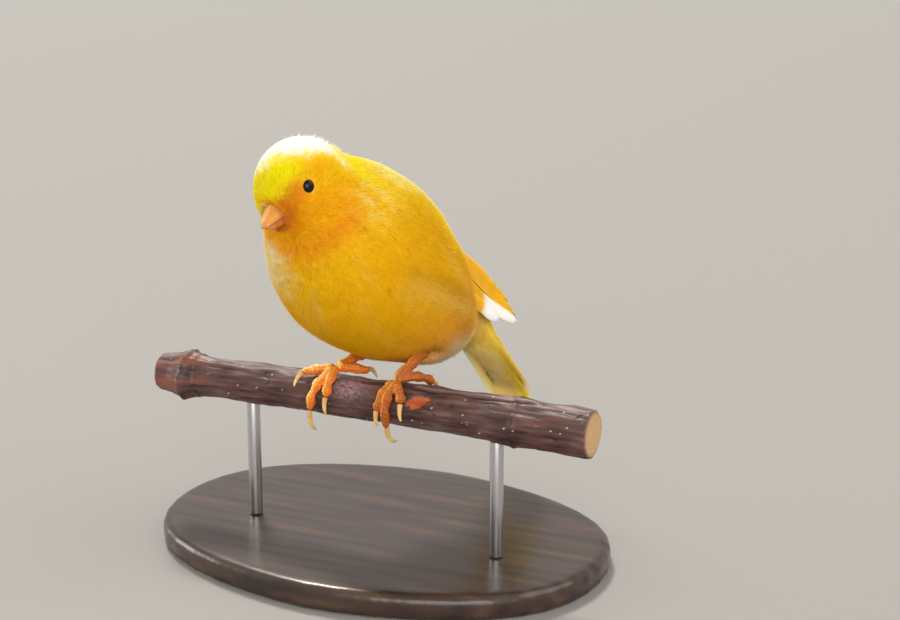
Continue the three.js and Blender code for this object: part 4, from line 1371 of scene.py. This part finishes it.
# Painted light and shade: the far right foot in paler tints and the near left foot in darker ones, each a base and a
# highlight tint.
FOOT_TINTS = {
    "left": (tone(168, 84, 18), tone(230, 150, 52)), "right": (tone(224, 114, 22), tone(255, 222, 112)),
}
FOOT_AT = {"left": 9.2, "right": -6.8}
FOOT_LIGHT_FROM = np.array((-0.8, -0.2, 0.5))
ANKLE_OUT = 7
ANKLE_BACK = math.radians(20)
BRANCH_LINE = (-8.0, 40.0)
BRANCH_BEND = 1.1
TOES = {"left": ("inner", "middle", "outer", "hind"), "right": ("outer", "middle", "inner", "hind")}
feet_finish = mottled("feet_scales", 0.46, (1400, 1400, 1400), 0.35, 0.00007, Specular_IOR_Level=0.4)
claw_finish = mottled("claw_horn", 0.35, (1800, 1800, 1800), 0.2, 0.00002, Specular_IOR_Level=0.5)


def around_branch(points):
    """For row frame points, their run along the branch, distance from its line and way out from it."""
    points = np.asarray(points) / MM
    x = points[:, 0]
    off = points[:, 1:] - np.stack([
        BRANCH_LINE[0] + BRANCH_BEND * (1 - np.cos(x / 30)), BRANCH_LINE[1] + BRANCH_BEND * (np.cos(x / 36) - 1),
    ], axis=1)
    far = np.linalg.norm(off, axis=1)
    return x, far, np.concatenate([np.zeros((len(off), 1)), off / far[:, None]], axis=1)


for side_name, toes in TOES.items():
    foot_nodes = [f"leg_{side_name}"] + [f"toe_{side_name}_{toe}" for toe in toes]
    foot = solid_copy(f"foot_{side_name}", foot_nodes)
    swollen(foot, FOOT_SWELL)
    remeshed(foot, FOOT_VOXEL, 5)
    points, out = corners(foot.data), outwards(foot.data)
    at = points / MM
    _, _, away = around_branch(points)
    ankle = np.array((
        FOOT_AT[side_name], BRANCH_LINE[0] - ANKLE_OUT * math.sin(ANKLE_BACK), BRANCH_LINE[1] + ANKLE_OUT,
    ))
    run = np.linalg.norm(at - ankle, axis=1)
    outer = soft((out * away).sum(axis=1), -0.1, 0.5)
    step = ((run + 0.16 * ripple(at, 3, 50)) / PLATE_PITCH) % 1
    groove = soft(step, 0.80, 0.95) * (1 - soft(step, 0.95, 1.0)) * outer
    knuckle = np.cos((run - 2.2) * 2 * math.pi / KNUCKLE_PITCH) * soft(run, 1.5, 4)
    grain = ripple(at, 0.55, 51)
    plate = PLATE_RISE * (0.35 + 0.65 * outer) * (soft(step, 0.0, 0.8) - 0.5)
    rise = plate - 0.05 * groove + 0.15 * knuckle + 0.08 * grain
    moved_to(foot.data, points + out * (rise - 0.10)[:, None] * MM)
    sunny = out @ FOOT_LIGHT_FROM / 0.96
    warm, highlight_tint = FOOT_TINTS[side_name]
    # Painted shade in the grooves between plates and on the sides that face the branch; painted highlights on the
    # plates and where the skin faces the light, and random paler patches.
    painted(
        foot, warm,
        (warm * 0.55, groove * 0.28),
        (highlight_tint * 0.8, soft(step, 0.3, 0.8) * (1 - soft(step, 0.8, 0.9)) * outer * 0.16),
        (highlight_tint, soft(sunny + 0.16 * grain, 0.2, 0.85) * 0.9),
        (warm * 0.7, (1 - outer) * 0.5),
        (highlight_tint * 0.85, soft(ripple(at, 0.5, 52), 0.5, 1.3) * 0.35),
    )
    dressed(foot, feet_finish, "feet", *foot_nodes)
    for toe in toes:
        claw_node = f"claw_{side_name}_{toe}"
        claw = solid_copy(f"{claw_node}_horn", [claw_node])
        remeshed(claw, CLAW_VOXEL, 6)
        points = corners(claw.data)
        toe_middle = corners(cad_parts[f"toe_{side_name}_{toe}"].data).mean(0)
        from_toe = np.linalg.norm(points - toe_middle, axis=1)
        claw_root = points[np.argsort(from_toe)[:20]].mean(0)
        moved_to(claw.data, claw_root + (points - claw_root) * CLAW_GROWN)
        deep = ripple(points / MM, 1.6, 60)
        from_root = np.linalg.norm(points - claw_root, axis=1) / MM
        painted(
            claw, tone(236, 208, 124),
            (tone(252, 236, 168), soft(deep, 0.1, 0.9) * 0.5),
            (tone(206, 156, 92), soft(-deep, 0.3, 1.0) * 0.5),
            (tone(206, 142, 96), (1 - soft(from_root, 0.4, 3.2)) * 0.75),
        )
        dressed(claw, claw_finish, "claw", claw_node)


# Perch: a short length of branch with its bark on, purplish brown and glossy, wrinkled lengthways, with
# ringed knots, a long crack along the top and a patch where the bark has peeled off. Both ends are sawn.
BARK_VOXEL = 0.31
BARK_ROUND = 5
GIRTH = 5.2
KNOTS = ((-49, 0.6, 0.45), (-45.6, 0.4, 0.2), (38, 0.8, 0.3))
PEEL_AT = 15.4
bark = solid_copy("branch_bark", ["perch_branch"])
remeshed(bark, BARK_VOXEL, 8)
points, out = corners(bark.data), outwards(bark.data)
at = points / MM
x, far, away = around_branch(points)
around = np.arctan2(-away[:, 1], away[:, 2])


def unrolled(stretch):
    """Places on the bark for a ripple whose waves run along the branch, longer for a smaller stretch."""
    return np.stack([x * stretch, np.cos(around) * BARK_ROUND, np.sin(around) * BARK_ROUND], axis=1)


fibres, coarse = unrolled(0.16), unrolled(0.5)
wrinkles = ripple(fibres, 2.0, 71) + 0.6 * ripple(fibres, 1.1, 72)
lumps = ripple(coarse, 6.0, 73)
side_on = soft(np.abs((out * away).sum(axis=1)), 0.4, 0.8)
rings = sum(amount * np.exp(-((x - knot - 0.6 * np.sin(around + knot)) / size) ** 2) for knot, size, amount in KNOTS)
crack_at = np.radians(21) - 0.003 * (x - 10) + 0.05 * ripple(np.stack([x, 0 * x, 0 * x], axis=1), 9, 74)
crack_off = (around - crack_at) * GIRTH
crack_runs = soft(x, 12.5, 14) * (1 - soft(x, 42, 44))
crack = np.exp(-(crack_off / 0.32) ** 2) * crack_runs
crack_lip = np.exp(-((crack_off + 0.75) / 0.4) ** 2) * crack_runs
fissures = np.exp(-(ripple(unrolled(0.22), 3.4, 82) / 0.10) ** 2) * soft(ripple(coarse, 5.0, 83), -0.2, 0.6)
peel_edge = 0.22 * ripple(at, 2.0, 75) + 0.16 * ripple(at, 0.9, 81)
peel_off = (around - np.radians(60) + 0.05 * (x - PEEL_AT)) * GIRTH / 1.5
peel = 1 - soft(np.hypot((x - PEEL_AT) / 3.1, peel_off) + peel_edge, 0.88, 0.98)
rise = 0.13 * wrinkles + 0.14 * lumps + rings - 0.5 * crack + 0.25 * crack_lip - 0.16 * fissures - 0.35 * peel
grip_zone = np.exp(-((x - 9) / 9) ** 2) + np.exp(-((x + 7) / 9) ** 2)
rise = np.clip(rise, -1.2, 0.55 - 0.42 * np.clip(grip_zone, 0, 1))
moved_to(bark.data, points + away * (rise * side_on * MM)[:, None])
specks = soft(ripple(at, 0.8, 76) + 0.7 * ripple(at, 0.5, 77), 1.95, 2.15)
# Painted highlight: a grey sheen on top of the branch between the feet.
painted_sheen = np.exp(-((x + 3.0) / 4.5) ** 2 - ((around - 0.8) / 0.5) ** 2)
painted_sheen *= soft(ripple(at, 1.0, 84) + 0.7 * ripple(at, 0.5, 85), -1.4, 0.7)
lit = soft(away @ np.array((-0.15, 0.25, 0.95)), 0.25, 0.95)
sawn = 1 - side_on
growth = 0.5 + 0.5 * np.sin(far * 7.5 + 0.8 * ripple(at, 6, 78))
painted(
    bark, tone(82, 56, 54),
    (tone(56, 38, 40), soft(-wrinkles, 0.1, 1.2) * 0.8),
    (tone(124, 98, 92), soft(wrinkles, 0.3, 1.5) * 0.45),
    (tone(104, 66, 54), soft(lumps, 0.2, 1.0) * 0.4),
    (tone(150, 130, 124), lit * soft(ripple(fibres, 3.2, 79), -0.6, 0.8) * 0.5),
    (tone(146, 82, 58), (1 - soft(x, -44, -40)) * 0.5 * soft(lumps + 0.4, 0, 1)),
    (tone(54, 36, 34), np.clip(rings * 1.1, 0, 1) * soft(-wrinkles, -0.5, 0.5)),
    (tone(178, 146, 150), painted_sheen * 0.9),
    (tone(40, 26, 24), fissures * 0.75),
    (tone(168, 140, 128), crack_lip * 0.5),
    (tone(28, 18, 17), crack),
    (tone(186, 86, 40), peel),
    (tone(132, 58, 30), peel * soft(ripple(fibres, 1.2, 80), 0.0, 0.8) * 0.7),
    (tone(228, 216, 204), specks * side_on * (1 - peel)),
    (tone(206, 170, 122), sawn),
    (tone(160, 118, 74), sawn * growth * 0.6),
    (tone(92, 62, 48), sawn * soft(far, 4.4, 5.4)),
)

bark_finish = mottled("bark", 0.45, (260, 1500, 1500), 0.55, 0.00018, Specular_IOR_Level=0.4)
dressed(bark, bark_finish, "bark", "perch_branch")


# Stand: an oval base of dark stained wood with an eased edge, and two short rods of brushed steel let
# into the base and up into the branch.
BASE_VOXEL = 0.7
ROD_SIDES = 64
ROD_EDGE = 0.15
base = solid_copy("display_base", ["stand_base"])
remeshed(base, BASE_VOXEL, 8)
at = corners(base.data) / MM
year_rings = ripple(at * np.array((0.12, 1, 1)), 5, 90)
painted(
    base, tone(58, 40, 32),
    (tone(38, 26, 22), soft(year_rings, 0.0, 1.0)),
    (tone(82, 58, 44), soft(-year_rings, 0.3, 1.2) * 0.7),
)
base_finish = mottled(
    "stained_wood", 0.34, (160, 2400, 2400), 0.45, 0.00003,
    Specular_IOR_Level=0.5, Coat_Weight=0.3, Coat_Roughness=0.15,
)
dressed(base, base_finish, "base", "stand_base")
rod_finish = mottled("brushed_steel", 0.3, (200, 200, 9000), 0.12, 0.000006, Metallic=1.0)
for side_name in ("left", "right"):
    low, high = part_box(f"stand_rod_{side_name}")
    rod = turned_out(
        bpy.ops.mesh.primitive_cylinder_add, f"display_rod_{side_name}", vertices=ROD_SIDES,
        radius=(high.x - low.x) / 2, depth=high.z - low.z, location=(low + high) / 2,
    )
    modified(rod, "BEVEL", width=ROD_EDGE * MM, segments=3, limit_method="ANGLE")
    tinted(rod.data, np.tile(tone(196, 196, 200), (len(rod.data.vertices), 1)))
    dressed(rod, rod_finish, "rod", f"stand_rod_{side_name}")
